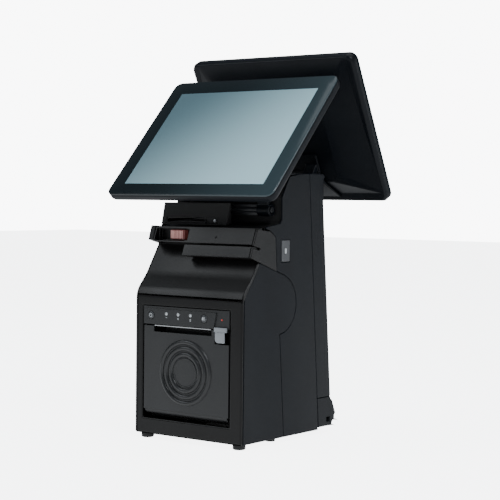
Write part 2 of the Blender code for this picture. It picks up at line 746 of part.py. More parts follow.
def make_door(skin, steel, rubber):
    """Printer door with its ring relief, hinge barrel, pin and platen roller."""
    pin_y = FRONT_Y + 0.0053
    hinge = pivot("printer_door_axis", (PRINTER_X, pin_y, DOOR_PIVOT_Z))
    face = FRONT_Y + GAP - pin_y
    back = face + DOOR_THICK
    low = DOOR_BOTTOM_Z - DOOR_PIVOT_Z
    high = DOOR_TOP_Z - DOOR_PIVOT_Z
    half = DOOR_WIDTH / 2
    slot_left = SLOT_X - PRINTER_X - SLOT_WIDTH / 2
    slot_right = SLOT_X - PRINTER_X + SLOT_WIDTH / 2
    lever_left = LEVER_X[0] - PRINTER_X - 0.0008
    slot_low = SLOT_LOW_Z - DOOR_PIVOT_Z
    lever_low = 0.1135 - DOOR_PIVOT_Z
    outline = [(-half, low), (half, low), (half, lever_low), (lever_left, lever_low),
               (lever_left, slot_low), (slot_left, slot_low), (slot_left, high), (-half, high)]
    if lever_left > slot_right:
        outline[4:5] = [(lever_left, high), (slot_right, high), (slot_right, slot_low)]
    panel = prism(outline, face, back, "Y")
    barrel = rod("X", (0.0, 0.0), 0.0032, -half + 0.002, half - 0.002, 16)
    apron = box((-half + 0.002, half - 0.002), (face + 0.0004, back), (-0.0005, low + 0.002))
    ring_turn = Matrix.Translation((0, face, RING_Z - DOOR_PIVOT_Z)) @ Matrix.Rotation(
        math.radians(90), 4, "X")
    parts = [apron, barrel]
    for radius in RING_RADII:
        edge = RING_WIDTH / 2
        crest = [(radius - edge, -0.0008), (radius + edge, -0.0008), (radius + edge, 0.0),
                 (radius + edge * 0.5, RING_HEIGHT * 0.8), (radius, RING_HEIGHT),
                 (radius - edge * 0.5, RING_HEIGHT * 0.8), (radius - edge, 0.0)]
        ring = turned(crest, 48)
        ring.transform(ring_turn)
        parts.append(ring)
    ears = []
    roller_y = -0.1040 - pin_y
    roller_z = PLATEN_Z - DOOR_PIVOT_Z
    reach = ROLL_WIDTH / 2
    for sign in (-1, 1):
        low_x, high_x = sorted((sign * (reach + 0.0022), sign * (reach + 0.0040)))
        ears.append(box((low_x, high_x), (back - 0.0005, roller_y + 0.0035),
                        (roller_z - 0.0040, roller_z + 0.0040)))
    door = join(panel, *parts, *ears)
    bore = rod("X", (0.0, 0.0), 0.0012 + RUN, -half, half, 16)
    holes = rod("X", (roller_y, roller_z), 0.0015 + RUN, -half, half, 16)
    groove = turned([(DISC_RADIUS - 0.0004, -0.0005), (DISC_RADIUS + 0.0004, -0.0005),
                     (DISC_RADIUS + 0.0004, 0.002), (DISC_RADIUS - 0.0004, 0.002)], 48)
    groove.transform(ring_turn)
    finish("printer_door", cut(door, bore, holes, groove), skin, hinge)

    pin = rod("X", (pin_y, DOOR_PIVOT_Z), 0.0012, PRINTER_X - half - 0.0006,
              PRINTER_X + half + 0.0006, 16)
    finish("door_hinge_pin", pin, steel)

    axle = pivot("platen_axis", (0.0, roller_y, roller_z))
    axle.parent = hinge
    shaft = rod("X", (0.0, 0.0), 0.0015, -reach - 0.0045, reach + 0.0045, 24)
    sleeve = rod("X", (0.0, 0.0), PLATEN_RADIUS, -reach + 0.001, reach - 0.001, 24)
    finish("platen_roller", join(shaft, sleeve), rubber, axle)


def make_lever(grey):
    """Light grey lever that opens the door, turning on a short pivot."""
    pivot_point = pivot("release_lever_axis", (0.0, LEVER_PIVOT_Y, LEVER_PIVOT_Z))
    front = FRONT_Y - 0.0025 - LEVER_PIVOT_Y
    back = FRONT_Y - 0.0005 - LEVER_PIVOT_Y
    low, high = LEVER_X
    bar = box((low, high), (front, back), (0.1268 - LEVER_PIVOT_Z, 0.1318 - LEVER_PIVOT_Z))
    tab = prism(fillet([(low + 0.0012, 0.1150 - LEVER_PIVOT_Z, 0.004),
                        (high - 0.0030, 0.1150 - LEVER_PIVOT_Z, 0.001),
                        (high - 0.0030, -0.001, 0), (low + 0.0012, -0.001, 0)]),
                front + 0.0004, back - 0.0002, "Y")
    arm = box((low + 0.005, high - 0.005), (back - 0.001, 0.0015),
              (0.1267 - LEVER_PIVOT_Z, 0.1281 - LEVER_PIVOT_Z))
    finish("release_lever", join(bar, tab, arm), grey, pivot_point)


def make_control_panel(skin, button_skin, lens, red_lens):
    """Panel over the paper slot with two buttons and four lights."""
    low_x, high_x = opening_sides()
    low_x += GAP
    high_x -= GAP
    base = box((low_x, high_x), (FRONT_Y + GAP, FRONT_Y + 0.0025), (PANEL_BOTTOM_Z, PANEL_TOP_Z - GAP))
    raised = prism(fillet([(low_x + 0.0036, PANEL_BOTTOM_Z + 0.0005, 0.0008),
                           (DOOR_RIGHT_X - 0.01985, PANEL_BOTTOM_Z + 0.0005, 0.0008),
                           (DOOR_RIGHT_X - 0.01665, PANEL_TOP_Z - 0.0030, 0.0012),
                           (low_x + 0.0036, PANEL_TOP_Z - 0.0030, 0.0012)]),
                   FRONT_Y - 0.0013, FRONT_Y + 0.0010, "Y")
    tools = []
    for x in PANEL_BUTTONS.values():
        tools.append(rod("Y", (x, BUTTON_Z), BUTTON_RADIUS + RUN, FRONT_Y - 0.01, FRONT_Y + 0.01))
    for x in PANEL_LIGHTS:
        tools.append(rod("Y", (x, BUTTON_Z + 0.0022), 0.0011, FRONT_Y - 0.01, FRONT_Y + 0.01, 12))
    tools.append(rod("Y", (ALARM_X, BUTTON_Z), 0.0013, FRONT_Y - 0.01, FRONT_Y + 0.01, 12))
    finish("control_panel", cut(join(base, raised), *tools), skin)

    for name, x in PANEL_BUTTONS.items():
        seat = pivot(f"{name}_seat", (x, FRONT_Y, BUTTON_Z))
        profile = [(0.0005, 0.0030), (BUTTON_RADIUS, 0.0030), (BUTTON_RADIUS, -0.0014),
                   (BUTTON_RADIUS - 0.0006, -0.0020), (0.0005, -0.0022)]
        cap = turned(profile, 24)
        cap.transform(Matrix.Rotation(math.radians(-90), 4, "X"))
        plug = rod("Y", (0, 0), 0.0008, -0.0021, 0.0028, 12)
        finish(name, join(cap, plug), button_skin, seat)
    rail_y = FRONT_Y + 0.0025 + GAP
    rail = box((PANEL_LIGHTS[0] - 0.002, PANEL_LIGHTS[-1] + 0.002), (rail_y, rail_y + 0.0020),
               (BUTTON_Z + 0.0004, BUTTON_Z + 0.0040))
    pipes = [rod("Y", (x, BUTTON_Z + 0.0022), 0.0011 - GAP, FRONT_Y - 0.0014, rail_y + 0.0005, 12)
             for x in PANEL_LIGHTS]
    finish("indicator_light_guide", join(rail, *pipes), lens)
    alarm = rod("Y", (ALARM_X, BUTTON_Z), 0.0013 - GAP, FRONT_Y - 0.0002, FRONT_Y + 0.0020, 12)
    finish("alarm_light", alarm, red_lens)


def make_side_button(grey, lens):
    """Power button in the right side panel, with its light."""
    seat = pivot("side_power_seat", (HALF, sum(POWER_Y) / 2, sum(POWER_Z) / 2))
    wide = (POWER_Y[1] - POWER_Y[0]) / 2 - RUN
    tall = (POWER_Z[1] - POWER_Z[0]) / 2 - RUN
    plate = box((-0.0040, 0.0004), (-wide, wide), (-tall, tall))
    bevel_along(plate, "X", 0.0008, 2)
    window = prism(rounded_rectangle(0.0034, 0.0066, 0.0016), -0.0010, 0.01)
    finish("side_power_button", cut(plate, window), grey, seat)
    light = prism(rounded_rectangle(0.0034 - 2 * GAP, 0.0066 - 2 * GAP, 0.0013),
                  -0.0010 + GAP, 0.0005)
    finish("power_button_light", light, lens, seat)


# ---------------------------------------------------------------- electronics
def make_electronics(board, steel, black, cell):
    """Mainboard, heat sink, power supply, drive, speaker and rear connectors."""
    plate = box((-0.060, 0.060), (0.0030, 0.0046), (0.0900, 0.2450))
    finish("mainboard", plate, board)
    base_y = 0.0046 + GAP
    sink = [box((-0.020, 0.020), (base_y, base_y + 0.0030), (0.1800, 0.2200))]
    sink += [box((x - 0.0006, x + 0.0006), (base_y + 0.002, base_y + 0.0110), (0.1800, 0.2200))
             for x in [-0.0180 + 0.0060 * i for i in range(7)]]
    finish("heat_sink", join(*sink), steel)

    fan_y = base_y + 0.0110 + GAP
    fan_z = 0.2000
    half = FAN_SIZE / 2
    frame = box((-half, half), (fan_y, fan_y + 0.0070), (fan_z - half, fan_z + half))
    throat = rod("Y", (0, fan_z), half - 0.0012, fan_y + 0.0020, fan_y + 0.0200, 32)
    vent = [prism(rounded_rectangle(0.0110, 0.0110, 0.001, (sx * 0.0105, fan_z + sz * 0.0105)),
                  fan_y - 0.01, fan_y + 0.01, "Y") for sx in (-1, 1) for sz in (-1, 1)]
    finish("cooling_fan_frame", cut(frame, throat, *vent), black)
    hub = pivot("fan_axis", (0, fan_y + 0.0056, fan_z))
    rotor = rod("Y", (0, 0), 0.0070, -0.0020, 0.0022, 24)
    blades = []
    for number in range(7):
        blade = box((0.0060, half - 0.0022), (-0.0016, -0.0006), (-0.0035, 0.0035))
        blade.transform(Matrix.Rotation(math.radians(20), 4, "X"))
        blade.transform(Matrix.Rotation(2 * math.pi * number / 7, 4, "Y"))
        blades.append(blade)
    finish("cooling_fan_rotor", join(rotor, *blades), black, hub)

    supply = box((-0.0580, 0.0580), (-0.0320, -0.0045), (0.0120, 0.0780))
    finish("power_supply", bevel_along(supply, "Z", 0.001, 1), steel)
    drive = box((-0.0350, 0.0350), (-0.0115, -0.0045), (0.1000, 0.2000))
    finish("storage_drive", bevel_along(drive, "Y", 0.002, 2), cell)
    cone = turned([(0.0040, 0.0), (0.0170, 0.0), (0.0170, 0.0020), (0.0120, 0.0060),
                   (0.0120, 0.0090), (0.0040, 0.0090)], 24)
    speaker = Matrix.Translation((-0.0640, -0.0225, 0.2250)) @ Matrix.Rotation(
        math.radians(90), 4, "Y")
    finish("speaker", cone, black, place=speaker)

    plate = box((-0.0660, 0.0660), (0.0400, 0.0412), (0.0125, 0.0415))
    block = box((-0.0560, 0.0380), (0.0405, 0.0500), (0.0160, 0.0330))
    sockets = [box((x - 0.0065, x + 0.0065), (0.0425, 0.0600), (0.0185, 0.0305))
               for x in [-0.0470 + 0.0190 * i for i in range(5)]]
    finish("connector_block", cut(join(plate, block), *sockets), black)
    inlet = box((0.0440, 0.0580), (0.0412 + GAP, 0.0500), (0.0170, 0.0290))
    hole = rod("Y", (0.0510, 0.0230), 0.0042, 0.0425, 0.0600, 20)
    finish("power_inlet", cut(inlet, hole), black)


# ---------------------------------------------------------------- displays
def display_sections(inset_depths):
    """Rounded outlines of the glass, each shrunk by an inset at a depth."""
    sections = []
    for inset, depth in inset_depths:
        outline = rounded_rectangle(GLASS_WIDTH - 2 * inset, GLASS_HEIGHT - 2 * inset,
                                    max(GLASS_RADIUS - inset * 0.6, 0.002))
        sections.append((outline, depth))
    return sections


def housing_solid():
    """Rear housing in display space: X right, Y up the display, Z towards the viewer."""
    depth = -GLASS_THICK - GAP
    back = depth - RIM_DEPTH
    rim = display_sections([(0.0006, depth), (0.0, depth - 0.0010), (0.0, depth - 0.0060),
                            (0.0016, depth - 0.0095), (0.0040, back)])
    foot = display_sections([(BULGE_INSET, back)])[0]
    top_points = rounded_rectangle(2 * BULGE_HALF, BULGE_HIGH - BULGE_LOW, 0.012,
                                   (0.0, (BULGE_HIGH + BULGE_LOW) / 2))
    top = (top_points, back - BULGE_DEPTH)
    shell = loft(rim + [foot, top])
    inner = GLASS_WIDTH - 2 * WALL
    tall = GLASS_HEIGHT - 2 * WALL
    hollow = loft([
        (rounded_rectangle(inner, tall, GLASS_RADIUS - WALL), 0.01),
        (rounded_rectangle(inner, tall, GLASS_RADIUS - WALL), depth - 0.0060),
        (rounded_rectangle(inner - 0.006, tall - 0.006, 0.004), back + WALL),
    ])
    pocket = loft([
        (rounded_rectangle(2 * BULGE_HALF + 0.020, 0.108, 0.012, (0, -0.015)), back + WALL + 0.001),
        (rounded_rectangle(2 * BULGE_HALF - 0.010, 0.080, 0.012, (0, -0.015)),
         back - BULGE_DEPTH + WALL),
    ])
    return cut(shell, hollow, pocket)


def apron_solid(mount_depth):
    """Wedge that widens down the slope of the housing's back, below the yoke's plate."""
    thick = 0.0026
    rim_depth = mount_depth - BULGE_DEPTH + GAP
    mount_depth += GAP
    foot = BULGE_INSET - GLASS_HEIGHT / 2 - 2 * GAP
    top = BULGE_LOW + 0.0160
    side = [(top, -mount_depth), (BULGE_LOW - GAP, -mount_depth), (foot, -rim_depth),
            (APRON_LOW, -rim_depth), (APRON_LOW, -rim_depth - 0.0016),
            (foot - 0.0012, -rim_depth - thick), (BULGE_LOW - 0.0012, -mount_depth - thick),
            (top, -mount_depth - thick)]
    wedge = prism(side, -APRON_LOW_HALF, APRON_LOW_HALF)
    corners = []
    for sign in (-1, 1):
        corner = [(sign * APRON_LOW_HALF, APRON_LOW), (sign * APRON_HIGH_HALF, top + 0.01),
                  (sign * 0.1, top + 0.01), (sign * 0.1, APRON_LOW)]
        corners.append(prism(corner, -0.1, 0.0, "Z"))
    return cut(wedge, *corners)


def yoke_solid(pivot_u, pivot_depth, arm_x, mount_depth, apron=False):
    """Hinge yoke: two bored knuckles, their arms, and a plate on the housing's back."""
    half = KNUCKLE_LENGTH / 2
    plate_back = -mount_depth - GAP - 0.0025
    plate = box((-arm_x - half - 0.001, arm_x + half + 0.001),
                (pivot_u + 0.0080, pivot_u + 0.0320), (plate_back, -mount_depth - GAP))
    arm = [(pivot_u - 0.0030, -pivot_depth), (pivot_u + 0.0035, -pivot_depth),
           (pivot_u + 0.0210, plate_back + 0.001), (pivot_u + 0.0130, plate_back + 0.001)]
    parts = [apron_solid(mount_depth)] if apron else []
    for x in (-arm_x, arm_x):
        parts.append(rod("X", (pivot_u, -pivot_depth), KNUCKLE_RADIUS, x - half, x + half, 24))
        parts.append(prism(arm, x - half + 0.001, x + half - 0.001))
    bore = rod("X", (pivot_u, -pivot_depth), HINGE_SHAFT_RADIUS + RUN, -0.1, 0.1, 24)
    return cut(join(plate, *parts), bore)


def make_display(prefix, edge, lean, faces_front, pivot_point, arm_x, finishes):
    """One touch display on its tilt hinge: glass, panel, housing, board and yoke.

    The rest position leans by `lean` from upright. edge and pivot_point are (Y, Z).
    """
    glass_skin, panel_skin, skin, steel, board = finishes
    hub = pivot(f"{prefix}_tilt_axis", (0, pivot_point[0], pivot_point[1]))
    facing = 0.0 if faces_front else math.pi
    sign = 1.0 if faces_front else -1.0
    spin = Matrix.Rotation(facing, 4, "Z") @ Matrix.Rotation(math.pi / 2 - lean, 4, "X")
    up = Vector((0, sign * math.sin(lean), math.cos(lean)))
    centre = Vector((0, edge[0], edge[1])) + up * GLASS_HEIGHT / 2
    place = Matrix.Translation(centre - hub.location) @ spin
    to_display = place.inverted() @ Matrix.Translation(-hub.location)
    pivot_local = to_display @ hub.location

    glass = loft(display_sections([(0.0, -GLASS_THICK), (0.0, -0.0004), (0.0004, 0.0)]))
    finish(f"{prefix}_glass", glass, glass_skin, hub, place)
    shift = (BEZEL_BOTTOM - BEZEL_TOP) / 2
    panel = box((-LCD_WIDTH / 2 - 0.002, LCD_WIDTH / 2 + 0.002),
                (shift - LCD_HEIGHT / 2 - 0.002, shift + LCD_HEIGHT / 2 + 0.002),
                (-GLASS_THICK - GAP - LCD_THICK, -GLASS_THICK - GAP))
    finish(f"{prefix}_panel", panel, panel_skin, hub, place)
    finish(f"{prefix}_rear_housing", housing_solid(), skin, hub, place)
    card_depth = GLASS_THICK + 2 * GAP + LCD_THICK
    card = box((-0.060, 0.060), (-0.045, 0.025), (-card_depth - 0.0040, -card_depth - 0.0024))
    finish(f"{prefix}_controller_board", card, board, hub, place)

    mount = GLASS_THICK + GAP + RIM_DEPTH + BULGE_DEPTH
    yoke = yoke_solid(pivot_local.y, -pivot_local.z, arm_x, mount, not faces_front)
    finish(f"{prefix}_hinge_yoke", yoke, steel, hub, place)


def make_hinge_brackets(steel):
    """Fixed brackets and shafts that carry the two displays."""
    main_x = KNUCKLE_OUTER_X - KNUCKLE_LENGTH
    shaft = rod("X", (MAIN_PIVOT_Y, MAIN_PIVOT_Z), HINGE_SHAFT_RADIUS, -KNUCKLE_OUTER_X - 0.001,
                KNUCKLE_OUTER_X + 0.001, 24)
    carrier = box((-main_x + 0.002, main_x - 0.002), (MAIN_PIVOT_Y - 0.0005, RECESS_WALL_Y - GAP),
                  (MAIN_PIVOT_Z - 0.006, MAIN_PIVOT_Z + 0.006))
    finish("main_hinge_shaft", join(shaft, carrier), steel)

    inner_x = CUSTOMER_ARM_X - KNUCKLE_LENGTH / 2
    shaft = rod("X", (CUSTOMER_PIVOT_Y, CUSTOMER_PIVOT_Z), HINGE_SHAFT_RADIUS,
                -CUSTOMER_ARM_X - KNUCKLE_LENGTH / 2 - 0.001,
                CUSTOMER_ARM_X + KNUCKLE_LENGTH / 2 + 0.001, 24)
    tongue = box((-inner_x + 0.002, inner_x - 0.002),
                 (REAR_TOP_Y + GAP, CUSTOMER_PIVOT_Y + 0.0005),
                 (CUSTOMER_PIVOT_Z - 0.006, CUSTOMER_PIVOT_Z + 0.006))
    finish("customer_hinge_shaft", join(shaft, tongue), steel)


def build():
    """Clear the scene and build every part."""
    for old in list(bpy.data.objects):
        bpy.data.objects.remove(old)
    black = material("black_housing", (0.028, 0.029, 0.031), 0.42)
    satin = material("satin_front", (0.034, 0.034, 0.036), 0.36)
    dark = material("dark_plastic", (0.012, 0.012, 0.013), 0.5)
    grey = material("grey_plastic", (0.42, 0.43, 0.44), 0.45)
    mid_grey = material("mid_grey_plastic", (0.16, 0.165, 0.17), 0.5)
    rubber = material("rubber", (0.015, 0.015, 0.015), 0.8)
    steel = material("steel", (0.56, 0.57, 0.58), 0.3, 1.0)
    board = material("circuit_board", (0.02, 0.10, 0.05), 0.5)
    glass = material("display_glass", (0.02, 0.03, 0.035), 0.08)
    lcd = material("display_panel", (0.30, 0.36, 0.40), 0.25)
    lens = material("clear_lens", (0.85, 0.88, 0.90), 0.2)
    red = material("red_lens", (0.45, 0.05, 0.04), 0.25)
    paper = material("paper", (0.88, 0.87, 0.84), 0.85)

    make_feet(rubber)
    make_base(dark)
    make_front_cover(satin)
    make_side_covers(black)
    make_column_sides(black)
    make_column_front(dark)
    make_column_top(black)
    make_rear_cover(black)
    make_cable_cover(black)
    make_chassis(steel)
    make_reader(satin, red, steel)
    make_card_module(dark, lens)
    make_printer_frame(dark, steel)
    make_paper_roll(paper)
    make_door(satin, steel, rubber)
    make_lever(grey)
    make_control_panel(mid_grey, grey, lens, red)
    make_side_button(mid_grey, lens)
    make_electronics(board, steel, dark, mid_grey)
    make_hinge_brackets(steel)
    finishes = (glass, lcd, black, dark, board)
    make_display("main_display", (MAIN_EDGE_Y, MAIN_EDGE_Z), MAIN_LEAN, True,
                 (MAIN_PIVOT_Y, MAIN_PIVOT_Z), KNUCKLE_OUTER_X - KNUCKLE_LENGTH / 2, finishes)
    make_display("customer_display", (CUSTOMER_EDGE_Y, CUSTOMER_EDGE_Z), CUSTOMER_LEAN, False,
                 (CUSTOMER_PIVOT_Y, CUSTOMER_PIVOT_Z), CUSTOMER_ARM_X, finishes)


build()
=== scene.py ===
"""Looks of a point-of-sale touchscreen terminal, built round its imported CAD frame.

Every length is in metres in the frame's own axes: +X to the operator's right, +Y to the
back and +Z up, with the counter at Z = 0.
"""

import logging
import math
import random
from dataclasses import dataclass
from enum import Enum
from typing import Callable, Iterable, Sequence

import bmesh
import bpy
from mathutils import Matrix, Vector


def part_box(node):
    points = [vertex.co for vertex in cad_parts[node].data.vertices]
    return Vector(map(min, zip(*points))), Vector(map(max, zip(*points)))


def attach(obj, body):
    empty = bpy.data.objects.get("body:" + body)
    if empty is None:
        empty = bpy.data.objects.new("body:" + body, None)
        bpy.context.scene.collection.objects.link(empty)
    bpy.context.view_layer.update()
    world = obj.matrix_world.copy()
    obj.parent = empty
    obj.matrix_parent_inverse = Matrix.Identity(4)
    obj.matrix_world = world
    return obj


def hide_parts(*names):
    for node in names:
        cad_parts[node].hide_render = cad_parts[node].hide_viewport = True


log = logging.getLogger("terminal")

Point = tuple[float, float, float]
Colour = tuple[float, float, float]
Span = tuple[float, float]

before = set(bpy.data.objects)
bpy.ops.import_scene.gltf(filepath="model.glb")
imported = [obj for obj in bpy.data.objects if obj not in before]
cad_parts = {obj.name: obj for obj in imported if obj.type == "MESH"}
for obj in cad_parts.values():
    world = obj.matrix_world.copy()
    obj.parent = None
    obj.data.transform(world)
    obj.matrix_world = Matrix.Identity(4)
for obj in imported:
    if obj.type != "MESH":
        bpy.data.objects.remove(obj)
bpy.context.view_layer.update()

LEVEL = 1e-6            # points nearer than this to a plane lie in it
LOOSE_GAP = 0.000002    # points of a CAD shape nearer than this are one
SPIN_GAP = 0.00001      # the same for the seam of a turned piece
FLAT_ANGLE = 0.6        # degrees between faces that still count as one flat face


class Body(Enum):
    """Rigid bodies of the frame that pieces ride on."""

    COLUMN = "column"
    MAIN = "main_display"
    CUSTOMER = "customer_display"
    DOOR = "printer_door"
    PLATEN = "platen"
    ROLL = "paper_roll"
    LEVER = "release_lever"
    FEED = "feed_button"
    POWER = "printer_power_button"
    SIDE = "side_power_button"
    FAN = "fan_rotor"


# ---------------------------------------------------------------- finishes
class Graph:
    """Short calls that add and wire shader nodes in one material."""

    def __init__(self, name: str) -> None:
        """Start a material with an empty Principled surface.

        Args:
            name: The material's name.
        """
        self.material = bpy.data.materials.new(name)
        self.material.use_nodes = True
        self.nodes = self.material.node_tree.nodes
        self.links = self.material.node_tree.links
        self.shader = self.nodes["Principled BSDF"]

    def add(self, kind: str, **values: object) -> bpy.types.Node:
        """Add a node.

        Args:
            kind: The node's type name.
            **values: Attributes, or input sockets where the name is a socket's.

        Returns:
            The new node.
        """
        node = self.nodes.new(kind)
        for key, value in values.items():
            label = key.replace("_", " ").title()
            if label in node.inputs:
                node.inputs[label].default_value = value
            else:
                setattr(node, key, value)
        return node

    def link(self, start: bpy.types.NodeSocket, end: bpy.types.NodeSocket) -> None:
        """Wire one socket to another."""
        self.links.new(start, end)

    def noise(self, scale: float, detail: float = 4.0, stretch: Point = (1, 1, 1)) -> bpy.types.Node:
        """Noise over the piece's own place.

        Args:
            scale: Features per metre, roughly.
            detail: Octaves of detail.
            stretch: How much the pattern is squeezed along each axis.

        Returns:
            The noise node.
        """
        place = self.add("ShaderNodeTexCoord")
        turn = self.add("ShaderNodeMapping")
        turn.inputs["Scale"].default_value = stretch
        pattern = self.add("ShaderNodeTexNoise", scale=scale, detail=detail)
        self.link(place.outputs["Object"], turn.inputs["Vector"])
        self.link(turn.outputs["Vector"], pattern.inputs["Vector"])
        return pattern

    def spread(self, source: bpy.types.NodeSocket, low: float, high: float) -> bpy.types.NodeSocket:
        """Map a 0 to 1 value onto a range.

        Args:
            source: The value's socket.
            low: Result at 0.35, near the bottom of what noise gives.
            high: Result at 0.65, near the top of what noise gives.

        Returns:
            The mapped value's socket.
        """
        node = self.add("ShaderNodeMapRange")
        node.inputs["From Min"].default_value = 0.35
        node.inputs["From Max"].default_value = 0.65
        node.inputs["To Min"].default_value = low
        node.inputs["To Max"].default_value = high
        self.link(source, node.inputs["Value"])
        return node.outputs["Result"]

    def blend(self, factor: bpy.types.NodeSocket, low: Colour, high: Colour) -> bpy.types.NodeSocket:
        """Mix two colours by a value.

        Args:
            factor: The socket of the share of the second colour.
            low: The first colour.
            high: The second colour.

        Returns:
            The mixed colour's socket.
        """
        mix = self.add("ShaderNodeMix", data_type="RGBA")
        mix.inputs[6].default_value = (*low, 1.0)
        mix.inputs[7].default_value = (*high, 1.0)
        self.link(factor, mix.inputs["Factor"])
        return mix.outputs[2]

    def relief(self, heights: Sequence[tuple[bpy.types.NodeSocket, float, float]]) -> None:
        """Give the surface a chain of bumps.

        Args:
            heights: Each a height socket, its strength, and its depth in metres.
        """
        before = None
        for height, strength, depth in heights:
            bump = self.add("ShaderNodeBump")
            bump.inputs["Strength"].default_value = strength
            bump.inputs["Distance"].default_value = depth
            self.link(height, bump.inputs["Height"])
            if before is not None:
                self.link(before.outputs["Normal"], bump.inputs["Normal"])
            before = bump
        self.link(before.outputs["Normal"], self.shader.inputs["Normal"])


def shade(colour: Colour, factor: float) -> Colour:
    """A colour made lighter or darker by a factor."""
    return tuple(min(channel * factor, 1.0) for channel in colour)


@dataclass(frozen=True)
class Moulded:
    """Moulded plastic with a spark-eroded grain, faint flow marks and handling sheen."""

    name: str
    colour: Colour
    roughness: float = 0.45
    grain: float = 2600.0
    grain_depth: float = 0.00005
    grain_strength: float = 0.25
    patchiness: float = 0.12
    specular: float = 0.5

    def make(self) -> bpy.types.Material:
        """Build the material."""
        graph = Graph(self.name)
        grain = graph.noise(self.grain, 3.0)
        patches = graph.noise(28.0, 5.0)
        flow = graph.noise(9.0, 2.0, (1.0, 1.0, 0.3))
        colour = graph.blend(graph.spread(patches.outputs["Fac"], 0.0, 1.0),
                             shade(self.colour, 1 - self.patchiness),
                             shade(self.colour, 1 + self.patchiness))
        graph.link(colour, graph.shader.inputs["Base Color"])
        graph.link(graph.spread(flow.outputs["Fac"], self.roughness - 0.05, self.roughness + 0.06),
                   graph.shader.inputs["Roughness"])
        graph.shader.inputs["Specular IOR Level"].default_value = self.specular
        graph.relief([(grain.outputs["Fac"], self.grain_strength, self.grain_depth),
                      (patches.outputs["Fac"], 0.05, 0.0002)])
        return graph.material


@dataclass(frozen=True)
class Metal:
    """Brushed or plated metal, with scratches along one axis and dulled patches."""

    name: str
    colour: Colour
    roughness: float = 0.32
    scratch: Point = (0.05, 1.0, 1.0)

    def make(self) -> bpy.types.Material:
        """Build the material."""
        graph = Graph(self.name)
        brushed = graph.noise(1800.0, 4.0, self.scratch)
        dull = graph.noise(60.0, 4.0)
        colour = graph.blend(graph.spread(dull.outputs["Fac"], 0.0, 1.0),
                             shade(self.colour, 0.88), self.colour)
        graph.link(colour, graph.shader.inputs["Base Color"])
        graph.link(graph.spread(dull.outputs["Fac"], self.roughness - 0.06, self.roughness + 0.1),
                   graph.shader.inputs["Roughness"])
        graph.shader.inputs["Metallic"].default_value = 1.0
        graph.relief([(brushed.outputs["Fac"], 0.25, 0.00004)])
        return graph.material


@dataclass(frozen=True)
class Lens:
    """Clear or tinted moulded lens, lit faintly from behind."""

    name: str
    colour: Colour
    glow: Colour
    strength: float

    def make(self) -> bpy.types.Material:
        """Build the material."""
        graph = Graph(self.name)
        cloud = graph.noise(700.0, 2.0)
        colour = graph.blend(graph.spread(cloud.outputs["Fac"], 0.0, 1.0),
                             shade(self.colour, 0.8), self.colour)
        graph.link(colour, graph.shader.inputs["Base Color"])
        graph.shader.inputs["Roughness"].default_value = 0.18
        graph.shader.inputs["Emission Color"].default_value = (*self.glow, 1.0)
        graph.shader.inputs["Emission Strength"].default_value = self.strength
        graph.relief([(cloud.outputs["Fac"], 0.1, 0.0001)])
        return graph.material


@dataclass(frozen=True)
class Rubber:
    """Matte moulded rubber with dust in its pores."""

    name: str
    colour: Colour

    def make(self) -> bpy.types.Material:
        """Build the material."""
        graph = Graph(self.name)
        pores = graph.noise(1500.0, 4.0)
        dust = graph.noise(90.0, 5.0)
        colour = graph.blend(graph.spread(dust.outputs["Fac"], 0.0, 1.0),
                             self.colour, shade(self.colour, 2.2))
        graph.link(colour, graph.shader.inputs["Base Color"])
        graph.link(graph.spread(dust.outputs["Fac"], 0.78, 0.92), graph.shader.inputs["Roughness"])
        graph.relief([(pores.outputs["Fac"], 0.4, 0.0001)])
        return graph.material


@dataclass(frozen=True)
class CoatedGlass:
    """Glass printed from behind in an even ink, with a painted reflection that runs from the ink's tone to
    a lighter one along an axis; smears of cleaning, and a clear gloss.
    """

    name: str
    colour: Colour
    painted_reflection_colour: Colour
    axis: Point
    span: Span
    roughness: float = 0.06

    def make(self) -> bpy.types.Material:
        """Build the material."""
        graph = Graph(self.name)
        place = graph.add("ShaderNodeTexCoord")
        along = graph.add("ShaderNodeVectorMath", operation="DOT_PRODUCT")
        along.inputs[1].default_value = self.axis
        graph.link(place.outputs["Object"], along.inputs[0])
        smears = graph.noise(18.0, 3.0, (1.0, 1.0, 0.4))
        share = graph.add("ShaderNodeMapRange")
        share.interpolation_type = "SMOOTHSTEP"
        share.inputs["From Min"].default_value = self.span[0]
        share.inputs["From Max"].default_value = self.span[1]
        graph.link(along.outputs["Value"], share.inputs["Value"])
        # The run towards the lighter colour is a painted reflection across the glass.
        colour = graph.blend(share.outputs["Result"], self.colour, self.painted_reflection_colour)
        graph.link(colour, graph.shader.inputs["Base Color"])
        graph.link(graph.spread(smears.outputs["Fac"], self.roughness, self.roughness + 0.05),
                   graph.shader.inputs["Roughness"])
        graph.shader.inputs["Specular IOR Level"].default_value = 0.22
        graph.shader.inputs["Coat Weight"].default_value = 0.12
        graph.shader.inputs["Coat Roughness"].default_value = 0.05
        return graph.material


@dataclass(frozen=True)
class CircuitBoard:
    """Solder mask with copper tracks showing through."""

    name: str
    colour: Colour

    def make(self) -> bpy.types.Material:
        """Build the material."""
        graph = Graph(self.name)
        place = graph.add("ShaderNodeTexCoord")
        tracks = graph.add("ShaderNodeTexVoronoi", distance="MANHATTAN")
        tracks.inputs["Scale"].default_value = 210.0
        graph.link(place.outputs["Object"], tracks.inputs["Vector"])
        share = graph.spread(tracks.outputs["Distance"], 0.0, 1.0)
        colour = graph.blend(share, shade(self.colour, 1.9), self.colour)
        graph.link(colour, graph.shader.inputs["Base Color"])
        graph.link(graph.spread(tracks.outputs["Distance"], 0.3, 0.5), graph.shader.inputs["Roughness"])
        graph.relief([(tracks.outputs["Distance"], 0.3, 0.0001)])
        return graph.material


